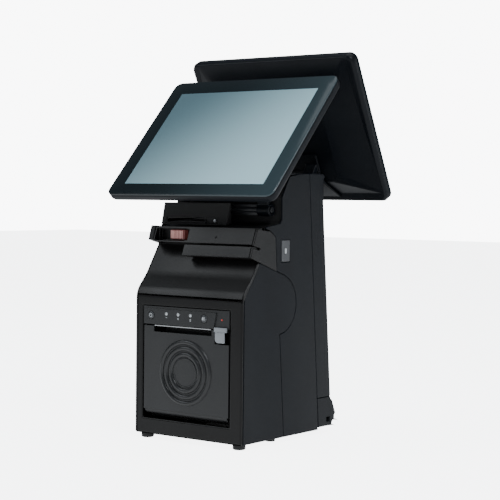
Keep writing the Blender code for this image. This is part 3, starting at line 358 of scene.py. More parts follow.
@dataclass(frozen=True)
class ThermalPaper:
    """White receipt paper: fine fibres, and the faint edges of wound layers."""

    name: str
    colour: Colour

    def make(self) -> bpy.types.Material:
        """Build the material."""
        graph = Graph(self.name)
        fibre = graph.noise(900.0, 6.0)
        layers = graph.noise(260.0, 2.0, (0.02, 1.0, 1.0))
        colour = graph.blend(graph.spread(layers.outputs["Fac"], 0.0, 1.0),
                             shade(self.colour, 0.9), self.colour)
        graph.link(colour, graph.shader.inputs["Base Color"])
        graph.link(graph.spread(fibre.outputs["Fac"], 0.6, 0.75), graph.shader.inputs["Roughness"])
        graph.relief([(fibre.outputs["Fac"], 0.2, 0.00005)])
        return graph.material


class Finish(Enum):
    """Every finish on the terminal, as its record slot and its recipe."""

    FRONT = ("front_satin", Moulded("front_satin_charcoal", (0.0040, 0.0037, 0.0036), 0.34, 3000.0,
                                    specular=0.24))
    DOOR = ("front_satin", Moulded("door_satin_charcoal", (0.0105, 0.0110, 0.0116), 0.34, 3000.0,
                                   specular=0.42))
    CASE = ("case_black", Moulded("case_blue_black", (0.0026, 0.0038, 0.0058), 0.40, 1500.0, 0.00009, 0.60,
                                  specular=0.14))
    INNER = ("inner_black", Moulded("inner_black", (0.0030, 0.0030, 0.0032), 0.50, 1800.0, specular=0.2))
    PANEL = ("panel_grey", Moulded("key_panel_grey", (0.0110, 0.0115, 0.0120), 0.34, 3200.0, specular=0.4))
    KEY = ("panel_grey", Moulded("key_grey", (0.035, 0.037, 0.040), 0.30, 3200.0))
    MARK = ("panel_grey", Moulded("key_marking", (0.45, 0.47, 0.48), 0.5, 3200.0))
    LEVER = ("lever_grey", Moulded("lever_light_grey", (0.24, 0.255, 0.27), 0.34, 2600.0, 0.00003))
    KNUCKLE = ("lever_grey", Moulded("knuckle_grey", (0.020, 0.021, 0.023), 0.30, 2600.0, 0.00003))
    RUBBER = ("foot_rubber", Rubber("foot_rubber", (0.018, 0.018, 0.019)))
    STEEL = ("steel", Metal("brushed_steel", (0.56, 0.57, 0.58), 0.30))
    ALLOY = ("alloy", Metal("extruded_alloy", (0.62, 0.63, 0.65), 0.36, (1.0, 1.0, 0.05)))
    BOARD = ("board", CircuitBoard("solder_mask", (0.010, 0.060, 0.028)))
    # Both glass finishes carry a painted reflection: the colour grows lighter towards the right and the
    # bottom of the glass, over the dark border ink and over the screen.
    BORDER = ("screen_glass", CoatedGlass("printed_border_painted_reflection", (0.0040, 0.0085, 0.0105),
                                          (0.0300, 0.0480, 0.0550), (1.0, 0.0, -0.4), (-0.20, 0.02),
                                          0.12))
    SCREEN = ("screen_glass", CoatedGlass("screen_painted_reflection", (0.090, 0.155, 0.180), (0.47, 0.71, 0.78),
                                          (0.62, 0.0, -0.78), (-0.36, -0.16), 0.14))
    PANEL_BACK = ("screen_panel", Metal("panel_tin_back", (0.45, 0.46, 0.47), 0.42, (1.0, 0.1, 1.0)))
    WINDOW = ("clear_lens", Lens("lit_window", (0.62, 0.34, 0.31), (1.0, 0.62, 0.58), 0.10))
    SCAN_BED = ("red_lens", Lens("scanner_bed", (0.16, 0.050, 0.045), (1.0, 0.25, 0.2), 0.03))
    CLEAR = ("clear_lens", Lens("clear_lens", (0.26, 0.28, 0.29), (0.9, 0.95, 1.0), 0.02))
    RED = ("red_lens", Lens("red_lens", (0.42, 0.02, 0.02), (1.0, 0.05, 0.03), 0.12))
    PAPER = ("paper", ThermalPaper("thermal_paper", (0.86, 0.86, 0.84)))

    @property
    def slot(self) -> str:
        """The record's slot that the finish belongs to."""
        return self.value[0]

    def material(self) -> bpy.types.Material:
        """The finish's material, made when first asked for."""
        recipe = self.value[1]
        return bpy.data.materials.get(recipe.name) or recipe.make()


# ---------------------------------------------------------------- modelling
def only(piece: bpy.types.Object) -> None:
    """Leave one piece selected and active."""
    if bpy.context.mode != "OBJECT":
        bpy.ops.object.mode_set(mode="OBJECT")
    bpy.ops.object.select_all(action="DESELECT")
    piece.select_set(True)
    bpy.context.view_layer.objects.active = piece


def settle(piece: bpy.types.Object) -> bpy.types.Object:
    """Move a piece's place, turn and scale into its mesh."""
    only(piece)
    bpy.ops.object.transform_apply(location=True, rotation=True, scale=True)
    return piece


def block(name: str, low: Point, high: Point) -> bpy.types.Object:
    """Add a block between two corners, to be shaped further.

    Args:
        name: The piece's name.
        low: The lowest corner.
        high: The highest corner.

    Returns:
        The block, settled.
    """
    centre = [(a + b) / 2 for a, b in zip(low, high)]
    size = [b - a for a, b in zip(low, high)]
    bpy.ops.mesh.primitive_cube_add(size=1, location=centre)
    piece = bpy.context.active_object
    piece.name = name
    piece.scale = size
    return settle(piece)


def disc(name: str, centre: Point, radius: float, depth: float, axis: str = "Z",
         sides: int = 40) -> bpy.types.Object:
    """Add a short cylinder, to be shaped further.

    Args:
        name: The piece's name.
        centre: The middle of the cylinder.
        radius: Its radius.
        depth: Its length along the axis.
        axis: The axis it lies along.
        sides: How many sides it has.

    Returns:
        The cylinder, settled.
    """
    turn = {"X": (0, math.pi / 2, 0), "Y": (math.pi / 2, 0, 0), "Z": (0, 0, 0)}[axis]
    bpy.ops.mesh.primitive_cylinder_add(vertices=sides, radius=radius, depth=depth,
                                        location=centre, rotation=turn)
    piece = bpy.context.active_object
    piece.name = name
    return settle(piece)


def select_in(piece: bpy.types.Object, mode: str, wanted: Callable[[object], bool]) -> None:
    """Enter edit mode with only the wanted faces, edges or points selected.

    Args:
        piece: The piece to edit.
        mode: FACE, EDGE or VERT.
        wanted: Test that a face, edge or point passes.
    """
    only(piece)
    bpy.ops.object.mode_set(mode="EDIT")
    bpy.ops.mesh.select_mode(type=mode)
    bpy.ops.mesh.select_all(action="DESELECT")
    cage = bmesh.from_edit_mesh(piece.data)
    for item in {"FACE": cage.faces, "EDGE": cage.edges, "VERT": cage.verts}[mode]:
        if wanted(item):
            item.select_set(True)
    cage.select_flush_mode()
    bmesh.update_edit_mesh(piece.data)


def leave() -> None:
    """Leave edit mode."""
    bpy.ops.object.mode_set(mode="OBJECT")


def bevel(piece: bpy.types.Object, wanted: Callable[[object], bool], width: float,
          segments: int = 4) -> None:
    """Round the chosen edges.

    Args:
        piece: The piece to edit.
        wanted: Test for the edges.
        width: How far the rounding runs from the edge.
        segments: Steps in the rounding.
    """
    select_in(piece, "EDGE", wanted)
    bpy.ops.mesh.bevel(offset=width, segments=segments, affect="EDGES", clamp_overlap=True)
    leave()


def anything(item: object) -> bool:
    """A test that every face, edge and point passes."""
    return True


def at_front(edge: bmesh.types.BMEdge) -> bool:
    """Whether an edge lies in the plane Z = 0 of the frame that a piece is made in."""
    return all(abs(point.co.z) < LEVEL for point in edge.verts)


def along(axis: int) -> Callable[[bmesh.types.BMEdge], bool]:
    """A test for edges that run along one axis, 0 to 2."""
    def runs(edge: bmesh.types.BMEdge) -> bool:
        """Whether the edge runs along the axis."""
        way = edge.verts[1].co - edge.verts[0].co
        return abs(way[axis]) > 0.999 * way.length
    return runs


def modifier(piece: bpy.types.Object, kind: str, **settings: object) -> None:
    """Add one modifier and apply it.

    Args:
        piece: The piece to change.
        kind: The modifier's type.
        **settings: Its settings.
    """
    only(piece)
    added = piece.modifiers.new(kind.lower(), kind)
    for key, value in settings.items():
        setattr(added, key, value)
    bpy.ops.object.modifier_apply(modifier=added.name)


def soften(piece: bpy.types.Object, width: float = 0.0006, segments: int = 3,
           angle: float = 30.0) -> bpy.types.Object:
    """Round all sharp edges and shade the rest smooth.

    Args:
        piece: The piece to finish.
        width: Width of the rounding.
        segments: Steps in the rounding.
        angle: Edges sharper than this, in degrees, are rounded.

    Returns:
        The piece.
    """
    modifier(piece, "BEVEL", width=width, segments=segments, limit_method="ANGLE",
             angle_limit=math.radians(angle), use_clamp_overlap=False, harden_normals=False)
    smooth(piece, 35)
    modifier(piece, "WEIGHTED_NORMAL", keep_sharp=True, weight=60)
    return piece


def smooth(piece: bpy.types.Object, angle: float) -> None:
    """Shade a piece smooth, apart from edges sharper than an angle in degrees."""
    only(piece)
    bpy.ops.object.shade_smooth_by_angle(angle=math.radians(angle))


def cut(piece: bpy.types.Object, cutter: bpy.types.Object) -> None:
    """Cut one shape out of another and remove the cutter."""
    modifier(piece, "BOOLEAN", operation="DIFFERENCE", solver="EXACT", object=cutter)
    bpy.data.objects.remove(cutter)


def join(name: str, pieces: Sequence[bpy.types.Object]) -> bpy.types.Object:
    """Join pieces into one object.

    Args:
        name: The name of the joined piece.
        pieces: The pieces, the first of which is kept.

    Returns:
        The joined piece.
    """
    only(pieces[0])
    for piece in pieces[1:]:
        piece.select_set(True)
    bpy.ops.object.join()
    pieces[0].name = name
    return pieces[0]


def repeated(name: str, model: bpy.types.Object, steps: Iterable[Point]) -> bpy.types.Object:
    """Copy a finished shape to several places and join the copies.

    Args:
        name: The name of the joined piece.
        model: The shape to repeat; it is used for the first place.
        steps: How far each copy is moved.

    Returns:
        The joined piece.
    """
    copies = []
    for step in steps:
        copy = model.copy()
        copy.data = model.data.copy()
        bpy.context.scene.collection.objects.link(copy)
        copy.data.transform(Matrix.Translation(step))
        copies.append(copy)
    bpy.data.objects.remove(model)
    return join(name, copies)


def put(piece: bpy.types.Object, place: Matrix) -> bpy.types.Object:
    """Place a piece that was made in another frame, and settle it."""
    piece.matrix_world = place
    return settle(piece)


def remake(node: str, name: str, width: float = 0.0006, segments: int = 3,
           angle: float = 30.0) -> bpy.types.Object:
    """Copy a CAD node's shape, join its loose faces and round its edges.

    Args:
        node: The CAD node.
        name: The new piece's name.
        width: Width of the rounding; 0 leaves the edges to be rounded later.
        segments: Steps in the rounding.
        angle: Edges sharper than this, in degrees, are rounded.

    Returns:
        The new piece.
    """
    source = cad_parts[node]
    piece = source.copy()
    piece.data = source.data.copy()
    piece.name = name
    for key in [key for key in piece.keys() if key.startswith("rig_")]:
        del piece[key]
    piece.parent = None
    bpy.context.scene.collection.objects.link(piece)
    select_in(piece, "VERT", anything)
    bpy.ops.mesh.remove_doubles(threshold=LOOSE_GAP)
    bpy.ops.mesh.dissolve_limited(angle_limit=math.radians(FLAT_ANGLE))
    leave()
    if width:
        soften(piece, width, segments, angle)
    return piece


class Assembly:
    """A group of pieces that is built, dressed and handed to the frame together."""

    def add(self, piece: bpy.types.Object, body: Body, finish: Finish, *nodes: str) -> bpy.types.Object:
        """Dress a piece, let it ride on a body, and hide the CAD nodes that it replaces.

        Args:
            piece: The finished piece.
            body: The body that it moves with.
            finish: Its finish.
            *nodes: The CAD nodes that it replaces.

        Returns:
            The piece.
        """
        piece.data.materials.clear()
        piece.data.materials.append(finish.material())
        return self.hand_over(piece, body, finish, *nodes)

    def hand_over(self, piece: bpy.types.Object, body: Body, finish: Finish,
                  *nodes: str) -> bpy.types.Object:
        """Let an already dressed piece ride on a body, and hide the CAD nodes that it replaces.

        Args:
            piece: The finished and dressed piece.
            body: The body that it moves with.
            finish: Its main finish; not used.
            *nodes: The CAD nodes that it replaces.

        Returns:
            The piece.
        """
        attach(piece, body.value)
        if nodes:
            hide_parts(*nodes)
        log.info("%s: %d faces on %s", piece.name, len(piece.data.polygons), body.value)
        return piece

    def rework(self, node: str, body: Body, finish: Finish, width: float = 0.0006,
               segments: int = 3, angle: float = 30.0) -> bpy.types.Object:
        """Replace a CAD node by the same shape with rounded edges.

        Args:
            node: The CAD node.
            body: The body that it moves with.
            finish: Its finish.
            width: Width of the rounding.
            segments: Steps in the rounding.
            angle: Edges sharper than this, in degrees, are rounded.

        Returns:
            The new piece.
        """
        piece = remake(node, node + "_finished", width, segments, angle)
        return self.add(piece, body, finish, node)

    def dress(self, finish: Finish, *nodes: str) -> None:
        """Give CAD nodes that keep their shape a finish."""
        for node in nodes:
            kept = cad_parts[node]
            kept.data.materials.clear()
            kept.data.materials.append(finish.material())
            log.info("%s keeps its shape, in %s", node, finish.name.lower())


# ---------------------------------------------------------------- turned pieces
def spun(name: str, profile: Sequence[Span], centre: Point, axis: Point,
         steps: int = 96) -> bpy.types.Object:
    """Turn a profile about an axis.

    Args:
        name: The piece's name.
        profile: Points as distance from the axis and height along it.
        centre: A point on the axis.
        axis: The axis.
        steps: Steps round the turn.

    Returns:
        The turned piece.
    """
    bpy.ops.mesh.primitive_plane_add(size=0.001, location=(0.0, 0.0, 0.0))
    piece = bpy.context.active_object
    piece.name = name
    select_in(piece, "VERT", anything)
    bpy.ops.mesh.delete(type="VERT")
    cage = bmesh.from_edit_mesh(piece.data)
    base, way, out = Vector(centre), Vector(axis), Vector((1.0, 0.0, 0.0))
    points = [cage.verts.new(base + way * height + out * reach) for reach, height in profile]
    for first, second in zip(points, points[1:]):
        cage.edges.new((first, second))
    for item in (*cage.verts, *cage.edges):
        item.select_set(True)
    bmesh.update_edit_mesh(piece.data)
    bpy.ops.mesh.spin(steps=steps, angle=2 * math.pi, center=centre, axis=axis)
    bpy.ops.mesh.select_all(action="SELECT")
    bpy.ops.mesh.remove_doubles(threshold=SPIN_GAP)
    bpy.ops.mesh.normals_make_consistent(inside=False)
    leave()
    smooth(piece, 40)
    return piece


# ---------------------------------------------------------------- displays
@dataclass
class Display(Assembly):
    """A tilting touchscreen head: glass, rear housing, panel, board and hinge yoke."""

    prefix: str
    body: Body
    edge: Point
    lean: float
    faces_back: bool
    glass_size: Span = (0.2346, 0.1846)
    glass_thickness: float = 0.0018
    glass_margin: float = 0.00005
    polish: float = 0.0006
    corner_radius: float = 0.0090
    screen_size: Span = (0.1966, 0.1475)
    screen_drop: float = 0.00165
    rim_z: float = -0.0126
    back_z: float = -0.0246
    foot_inset: float = 0.0120
    foot_search: float = 0.0080
    depth_search: float = 0.0001
    upper_part: float = 0.0200
    middle: tuple[float, ...] = (-0.060, 0.060, -0.059, 0.029)
    rim_width: float = 0.0026
    crease_round: float = 0.0200
    edge_round: float = 0.0012
    yoke_round: float = 0.0014
    slot_size: Span = (0.0130, 0.0014)
    slot_round: float = 0.00065
    slot_proud: float = 0.00005
    slot_sunk: float = 0.0010
    slot_pitch: Span = (0.0180, 0.0045)
    slot_columns: tuple[float, ...] = (-1.5, -0.5, 0.5, 1.5)
    slot_rows: int = 5

    @property
    def place(self) -> Matrix:
        """From the head's own frame (X right, Y up the glass, Z to the viewer) to the whole."""
        turn = Matrix.Rotation(math.pi, 4, "Z") if self.faces_back else Matrix.Identity(4)
        tilt = Matrix.Rotation(math.pi / 2 - math.radians(self.lean), 4, "X")
        centre = self.glass_size[1] / 2
        base = Matrix.Translation(self.edge) @ turn @ tilt
        return base @ Matrix.Translation((0.0, centre, 0.0))

    def glass(self) -> bpy.types.Object:
        """The cover glass: rounded corners, a polished edge, and the screen area marked off."""
        half = [side / 2 - self.glass_margin for side in self.glass_size]
        piece = block(self.prefix + "_cover_glass", (-half[0], -half[1], -self.glass_thickness),
                      (half[0], half[1], 0.0))
        bevel(piece, along(2), self.corner_radius, 8)
        bevel(piece, at_front, self.polish, 3)
        wide, tall = self.screen_size[0] / 2, self.screen_size[1] / 2
        for axis, offset in ((0, -wide), (0, wide), (1, -tall - self.screen_drop),
                             (1, tall - self.screen_drop)):
            spot = [0.0, 0.0, 0.0]
            spot[axis] = offset
            normal = [0.0, 0.0, 0.0]
            normal[axis] = 1.0
            select_in(piece, "FACE", lambda face: face.normal.z > 0.9)
            bpy.ops.mesh.bisect(plane_co=spot, plane_no=normal)
            leave()
        smooth(piece, 20)
        piece.data.materials.append(Finish.BORDER.material())
        piece.data.materials.append(Finish.SCREEN.material())
        for face in piece.data.polygons:
            x, y, z = face.center
            inside = abs(x) < wide and abs(y + self.screen_drop) < tall and abs(z) < LEVEL
            face.material_index = 1 if inside else 0
        put(piece, self.place)
        return self.hand_over(piece, self.body, Finish.BORDER, self.prefix + "_glass")

    def housing(self) -> bpy.types.Object:
        """The rear housing: a pillowed back that starts close to the rim, its creases rounded wide."""
        piece = remake(self.prefix + "_rear_housing", self.prefix + "_housing", 0.0)
        put(piece, self.place.inverted())
        half_width, half_height = self.glass_size[0] / 2, self.glass_size[1] / 2

        def at_foot(point: bmesh.types.BMVert) -> bool:
            """Whether a point lies on the loop where the raised middle leaves the rim."""
            inside = (abs(point.co.x) < half_width - self.foot_search
                      and abs(point.co.y) < half_height - self.foot_search)
            return inside and abs(point.co.z - self.rim_z) < self.depth_search

        def at_upper_foot(point: bmesh.types.BMVert) -> bool:
            """Whether a foot point lies above the middle of the head."""
            return at_foot(point) and point.co.y > self.upper_part

        upper = (half_height - self.rim_width) / (half_height - self.foot_inset)
        select_in(piece, "VERT", at_upper_foot)
        bpy.ops.transform.resize(value=(1.0, upper, 1.0), center_override=(0.0, 0.0, 0.0))
        leave()
        wider = (half_width - self.rim_width) / (half_width - self.foot_inset)
        select_in(piece, "VERT", at_foot)
        bpy.ops.transform.resize(value=(wider, 1.0, 1.0), center_override=(0.0, 0.0, 0.0))
        leave()

        def crease(edge: bmesh.types.BMEdge) -> bool:
            """Whether an edge runs round the top of the raised middle."""
            ends = [point.co for point in edge.verts]
            level = all(abs(end.z - ends[0].z) < self.depth_search / 10 for end in ends)
            raised = min(end.z for end in ends) < self.rim_z - self.depth_search
            left, right, low, high = self.middle
            outside = all(end.x < left or end.x > right or end.y < low or end.y > high for end in ends)
            return outside and raised and level

        bevel(piece, crease, self.crease_round, 10)
        soften(piece, self.edge_round, 3)
        put(piece, self.place)
        return self.add(piece, self.body, Finish.CASE, self.prefix + "_rear_housing")

    def vents(self) -> bpy.types.Object:
        """A field of short air slots on the housing's back, drawn as flat dark inlays: painted shade in
        place of open slots.
        """
        wide, tall = self.slot_size[0] / 2, self.slot_size[1] / 2
        slot = block("slot", (-wide, -tall, self.back_z - self.slot_proud),
                     (wide, tall, self.back_z + self.slot_sunk))
        bevel(slot, along(2), self.slot_round, 3)
        steps = [(self.slot_pitch[0] * column, self.slot_pitch[1] * row, 0.0)
                 for column in self.slot_columns for row in range(self.slot_rows)]
        piece = repeated(self.prefix + "_air_slot_painted_shade", slot, steps)
        put(piece, self.place)
        smooth(piece, 30)
        return self.add(piece, self.body, Finish.INNER)

    def build(self) -> None:
        """Build the head's pieces."""
        self.glass()
        self.housing()
        self.vents()
        self.rework(self.prefix + "_hinge_yoke", self.body, Finish.CASE, self.yoke_round, 4)
        self.dress(Finish.PANEL_BACK, self.prefix + "_panel")
        self.dress(Finish.BOARD, self.prefix + "_controller_board")


# ---------------------------------------------------------------- column
@dataclass
class Column(Assembly):
    """Base, side panels, rear cover, top cap and the hinge hardware on them."""

    edge_round: float = 0.0009
    liner_x: Span = (0.0702, 0.0730)
    liner_y: Span = (0.0040, 0.0380)
    liner_z: Span = (0.0105, 0.2960)
    liner_corner: float = 0.0040
    liner_round: float = 0.0004

    def seam_liner(self, side: str) -> bpy.types.Object:
        """A dark strip inside the wall that closes the seam between side panel and rear cover.

        Args:
            side: Left or right, as the operator sees it.

        Returns:
            The strip.
        """
        sign = 1.0 if side == "right" else -1.0
        near, far = sorted(sign * x for x in self.liner_x)
        piece = block("seam_liner_" + side, (near, self.liner_y[0], self.liner_z[0]),
                      (far, self.liner_y[1], self.liner_z[1]))
        bevel(piece, along(0), self.liner_corner, 5)
        soften(piece, self.liner_round, 2)
        return self.add(piece, Body.COLUMN, Finish.INNER)

    def build(self) -> None:
        """Build the column's pieces."""
        for side in ("left", "right"):
            self.rework("column_side_panel_" + side, Body.COLUMN, Finish.CASE, self.edge_round)
            self.rework("printer_side_cover_" + side, Body.COLUMN, Finish.CASE, self.edge_round)
            self.seam_liner(side)
        self.rework("column_rear_cover", Body.COLUMN, Finish.CASE, self.edge_round)
        self.rework("rear_cable_cover", Body.COLUMN, Finish.CASE, self.edge_round)
        self.rework("column_top_cap", Body.COLUMN, Finish.CASE, 0.0005)
        self.rework("column_front_panel", Body.COLUMN, Finish.INNER, 0.0004)
        self.rework("base_plate", Body.COLUMN, Finish.INNER, 0.0004)
        for corner in ("front_left", "front_right", "rear_left", "rear_right"):
            self.rework("foot_" + corner, Body.COLUMN, Finish.RUBBER, 0.0008)
        self.rework("side_power_button", Body.SIDE, Finish.KEY, 0.0005)
        self.dress(Finish.MARK, "power_button_light")
        self.rework("main_hinge_shaft", Body.COLUMN, Finish.KNUCKLE, 0.0004)
        self.rework("customer_hinge_shaft", Body.COLUMN, Finish.KNUCKLE, 0.0004)


# ---------------------------------------------------------------- printer
@dataclass
class Printer(Assembly):
    """Receipt printer: front cover, door, key panel, tear bar, roll and mechanism."""

    edge_round: float = 0.0024
    ring_centre: Point = (-0.0036, -0.1135, 0.0786)
    ring_radii: tuple[float, ...] = (0.0203, 0.0271, 0.0339)
    ring_half: float = 0.0028
    ring_height: float = 0.0020
    ring_steps: int = 12
    ring_power: float = 1.5
    ring_foot: float = 0.0002
    ring_edge: float = 0.0004
    ring_sunk: float = 0.0008
    dish: tuple[Span, ...] = ((0.0, 0.0004), (0.0147, 0.0004), (0.0153, 0.0010), (0.0161, 0.0010),
                              (0.0169, 0.0002))
    tooth_radius: float = 0.0008
    tooth_height: float = 0.0004
    tooth_pitch: float = 0.0016
    rib_margin: float = 0.0020
    rib_y: Span = (-0.1018, -0.1000)
    rib_z: Span = (0.0250, 0.0258)
    rib_round: float = 0.0002
    rib_pitch: float = 0.0016
    rib_count: int = 4
    icon_line: float = 0.0005
    ink: float = 0.00012
    ink_sunk: float = 0.0001
    ink_lift: float = 0.00002
    label_drop: float = 0.0020
    label_pitch: float = 0.0011
    label_half: float = 0.0010
    light_rise: float = 0.0024
    light_radius: float = 0.0016
    light_xs: tuple[float, ...] = (-0.0302, -0.0132, 0.0044)
    key_z: float = 0.1402

    def rings(self) -> bpy.types.Object:
        """The round relief on the door: three soft ridges round a shallow dish."""
        profile = list(self.dish)
        for radius in self.ring_radii:
            for step in range(self.ring_steps + 1):
                angle = math.pi * step / self.ring_steps
                profile.append((radius - self.ring_half * math.cos(angle),
                                self.ring_foot + self.ring_height * math.sin(angle) ** self.ring_power))
        profile.append((profile[-1][0] + self.ring_edge, -self.ring_sunk))
        profile.append((0.0, -self.ring_sunk))
        piece = spun("printer_door_rings", profile, self.ring_centre, (0.0, -1.0, 0.0))
        return self.add(piece, Body.DOOR, Finish.DOOR)

    def tear_teeth(self) -> bpy.types.Object:
        """A saw-toothed strip along the tear bar's front edge."""
        low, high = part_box("tear_bar")
        first = (low.x + self.tooth_pitch, low.y - 0.0001, high.z - self.tooth_height / 2)
        tooth = disc("tooth", first, self.tooth_radius, self.tooth_height, "Z", 3)
        count = int((high.x - low.x) / self.tooth_pitch) - 1
        piece = repeated("tear_bar_teeth", tooth, [(self.tooth_pitch * i, 0.0, 0.0) for i in range(count)])
        return self.add(piece, Body.COLUMN, Finish.STEEL)

    def ring_mark(self, name: str, centre: Point, radius: float, gap: float = 0.0) -> bpy.types.Object:
        """A thin printed ring, closed or open at the top.

        Args:
            name: The piece's name.
            centre: The ring's middle, on the face it is printed on.
            radius: The ring's radius.
            gap: Half width of the opening at the top.

        Returns:
            The ring.
        """
        inner, outer = radius - self.icon_line / 2, radius + self.icon_line / 2
        profile = [(inner, 0.0), (inner, self.ink), (outer, self.ink), (outer, 0.0), (inner, 0.0)]
        piece = spun(name, profile, centre, (0.0, -1.0, 0.0), 32)
        if gap:
            x, y, z = centre
            cut(piece, block("gap", (x - gap, y - 0.001, z), (x + gap, y + 0.001, z + 2 * radius)))
        return piece

    def bar_mark(self, name: str, low: Span, high: Span, face: float) -> bpy.types.Object:
        """A short printed bar between two corners (X, Z) on a face."""
        piece = block(name, (low[0], face - self.ink, low[1]), (high[0], face + self.ink_sunk, high[1]))
        bevel(piece, along(1), min(high[0] - low[0], high[1] - low[1]) * 0.4, 2)
        return piece

    def key_face(self, node: str) -> Point:
        """The middle of a key's front face, a hair's breadth in front of it."""
        low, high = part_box(node)
        return (low.x + high.x) / 2, low.y - self.ink_lift, (low.z + high.z) / 2

    def power_sign(self) -> None:
        """A generic power sign on the round key: an open ring with a bar."""
        x, face, z = self.key_face("printer_power_button")
        ring = self.ring_mark("power_sign_ring", (x, face, z), 0.0019, 0.0007)
        bar = self.bar_mark("power_sign_bar", (x - 0.00028, z + 0.0003), (x + 0.00028, z + 0.0024), face)
        self.add(join("power_sign", [ring, bar]), Body.POWER, Finish.MARK)

    def feed_sign(self) -> None:
        """A generic feed sign on the other key: a strip of paper and an arrow."""
        x, face, z = self.key_face("feed_button")
        sheet = self.bar_mark("feed_sheet", (x - 0.0018, z - 0.0016), (x + 0.0004, z + 0.0018), face)
        stem = self.bar_mark("feed_stem", (x + 0.0011, z - 0.0004), (x + 0.0016, z + 0.0018), face)
        tip = disc("feed_tip", (x + 0.00135, face - 0.00005, z - 0.0009), 0.0010, 0.00014, "Y", 3)
        self.add(join("feed_sign", [sheet, stem, tip]), Body.FEED, Finish.MARK)

    def light_labels(self) -> None:
        """Rings over the three lights and short bars under them, one more for each."""
        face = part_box("control_panel")[0].y
        marks = []
        for number, x in enumerate(self.light_xs):
            for row in range(number + 1):
                z = self.key_z - self.label_drop - self.label_pitch * row
                marks.append(self.bar_mark("label", (x - self.label_half, z),
                                           (x + self.label_half, z + self.icon_line), face))
            marks.append(self.ring_mark("label_ring", (x, face, self.key_z + self.light_rise),
                                        self.light_radius))
        self.add(join("light_labels", marks), Body.COLUMN, Finish.MARK)

    def recess_ribs(self) -> bpy.types.Object:
        """Fine ribs at the back of the dark gap under the door, clear of the door's swing."""
        low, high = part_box("printer_door")
        rib = block("rib", (low.x + self.rib_margin, self.rib_y[0], self.rib_z[0]),
                    (high.x - self.rib_margin, self.rib_y[1], self.rib_z[1]))
        bevel(rib, along(0), self.rib_round, 2)
        steps = [(0.0, 0.0, self.rib_pitch * number) for number in range(self.rib_count)]
        piece = repeated("recess_ribs", rib, steps)
        return self.add(piece, Body.COLUMN, Finish.INNER)

    def build(self) -> None:
        """Build the printer's pieces."""
        self.rework("printer_front_cover", Body.COLUMN, Finish.FRONT, self.edge_round, 4)
        self.rework("printer_door", Body.DOOR, Finish.DOOR, 0.0005)
        self.rings()
        self.rework("control_panel", Body.COLUMN, Finish.PANEL, 0.0003)
        self.rework("feed_button", Body.FEED, Finish.KEY, 0.0004)
        self.rework("printer_power_button", Body.POWER, Finish.KEY, 0.0004)
        self.power_sign()
        self.feed_sign()
        self.light_labels()
        self.dress(Finish.CLEAR, "indicator_light_guide")
        self.dress(Finish.RED, "alarm_light")
        self.rework("release_lever", Body.LEVER, Finish.LEVER, 0.0006)
        self.rework("tear_bar", Body.COLUMN, Finish.STEEL, 0.0002, 2)
        self.tear_teeth()
        self.recess_ribs()
        self.rework("printer_frame", Body.COLUMN, Finish.INNER, 0.0004)
        self.rework("thermal_print_head", Body.COLUMN, Finish.INNER, 0.0003)
        self.rework("platen_roller", Body.PLATEN, Finish.RUBBER, 0.0002)
        self.rework("paper_roll", Body.ROLL, Finish.PAPER, 0.0004)
        self.dress(Finish.STEEL, "door_hinge_pin")


# ---------------------------------------------------------------- card readers
@dataclass
class CardReaders(Assembly):
    """Swipe reader with its lit scanner window, and the chip card slot above it."""

    recess_x: Span = (-0.0655, -0.0190)
    recess_z: Span = (0.2248, 0.2364)
    recess_back: float = -0.0815
    window_x: Span = (-0.0476, -0.0273)
    recess_front: float = -0.1200
    bed_drop: float = 0.0012
    bed_round: float = 0.0006
    rib_end: float = 0.0008
    rib_room: float = 0.0020
    rib_widths: Span = (0.0005, 0.0014)
    rib_gaps: Span = (0.0007, 0.0014)
    rib_margin: float = 0.0009
    rib_depth: float = 0.0016
    rib_round: float = 0.0002
    dimple_radius: float = 0.0011
    dimple: Point = (0.0215, -0.0932, 0.2290)

    def upper_bar(self) -> bpy.types.Object:
        """The upper bar, with the scanner's recess cut in and a dimple on its face."""
        piece = remake("card_reader_upper_bar", "card_reader_upper_bar_finished", 0.0)
        cut(piece, block("recess", (self.recess_x[0], self.recess_front, self.recess_z[0]),
                         (self.recess_x[1], self.recess_back, self.recess_z[1])))
        bpy.ops.mesh.primitive_uv_sphere_add(segments=16, ring_count=10, radius=self.dimple_radius,
                                             location=self.dimple)
        cut(piece, bpy.context.active_object)
        soften(piece, 0.0006, 3)
        return self.add(piece, Body.COLUMN, Finish.FRONT, "card_reader_upper_bar")

    def window(self) -> None:
        """The scanner's window: a red bed behind a row of moulded light ribs."""
        low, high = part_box("scanner_window")
        left, right = self.window_x
        bed = block("scanner_window_bed", (left, low.y + self.bed_drop, low.z),
                    (right, self.recess_back - 0.0001, high.z))
        bevel(bed, along(1), self.bed_round, 2)
        self.add(bed, Body.COLUMN, Finish.SCAN_BED, "scanner_window")
        ribs = []
        source = random.Random(7)
        x = left + self.rib_end
        while x < right - self.rib_room:
            width = source.uniform(*self.rib_widths)
            rib = block("rib", (x, low.y, low.z + self.rib_margin),
                        (x + width, low.y + self.rib_depth, high.z - self.rib_margin))
            bevel(rib, along(2), self.rib_round, 2)
            ribs.append(rib)
            x += width + source.uniform(*self.rib_gaps)
        self.add(join("scanner_window_ribs", ribs), Body.COLUMN, Finish.WINDOW)

    def build(self) -> None:
        """Build the readers' pieces."""
        self.upper_bar()
        self.window()
        self.rework("card_reader_lower_bar", Body.COLUMN, Finish.FRONT, 0.0008)
        self.rework("card_reader_end_cap", Body.COLUMN, Finish.FRONT, 0.0008)
        self.rework("card_reader_end_plate", Body.COLUMN, Finish.FRONT, 0.0006)
        self.rework("card_reading_head", Body.COLUMN, Finish.STEEL, 0.0002)
        self.rework("chip_card_module", Body.COLUMN, Finish.INNER, 0.0005)
        self.dress(Finish.MARK, "module_status_light")


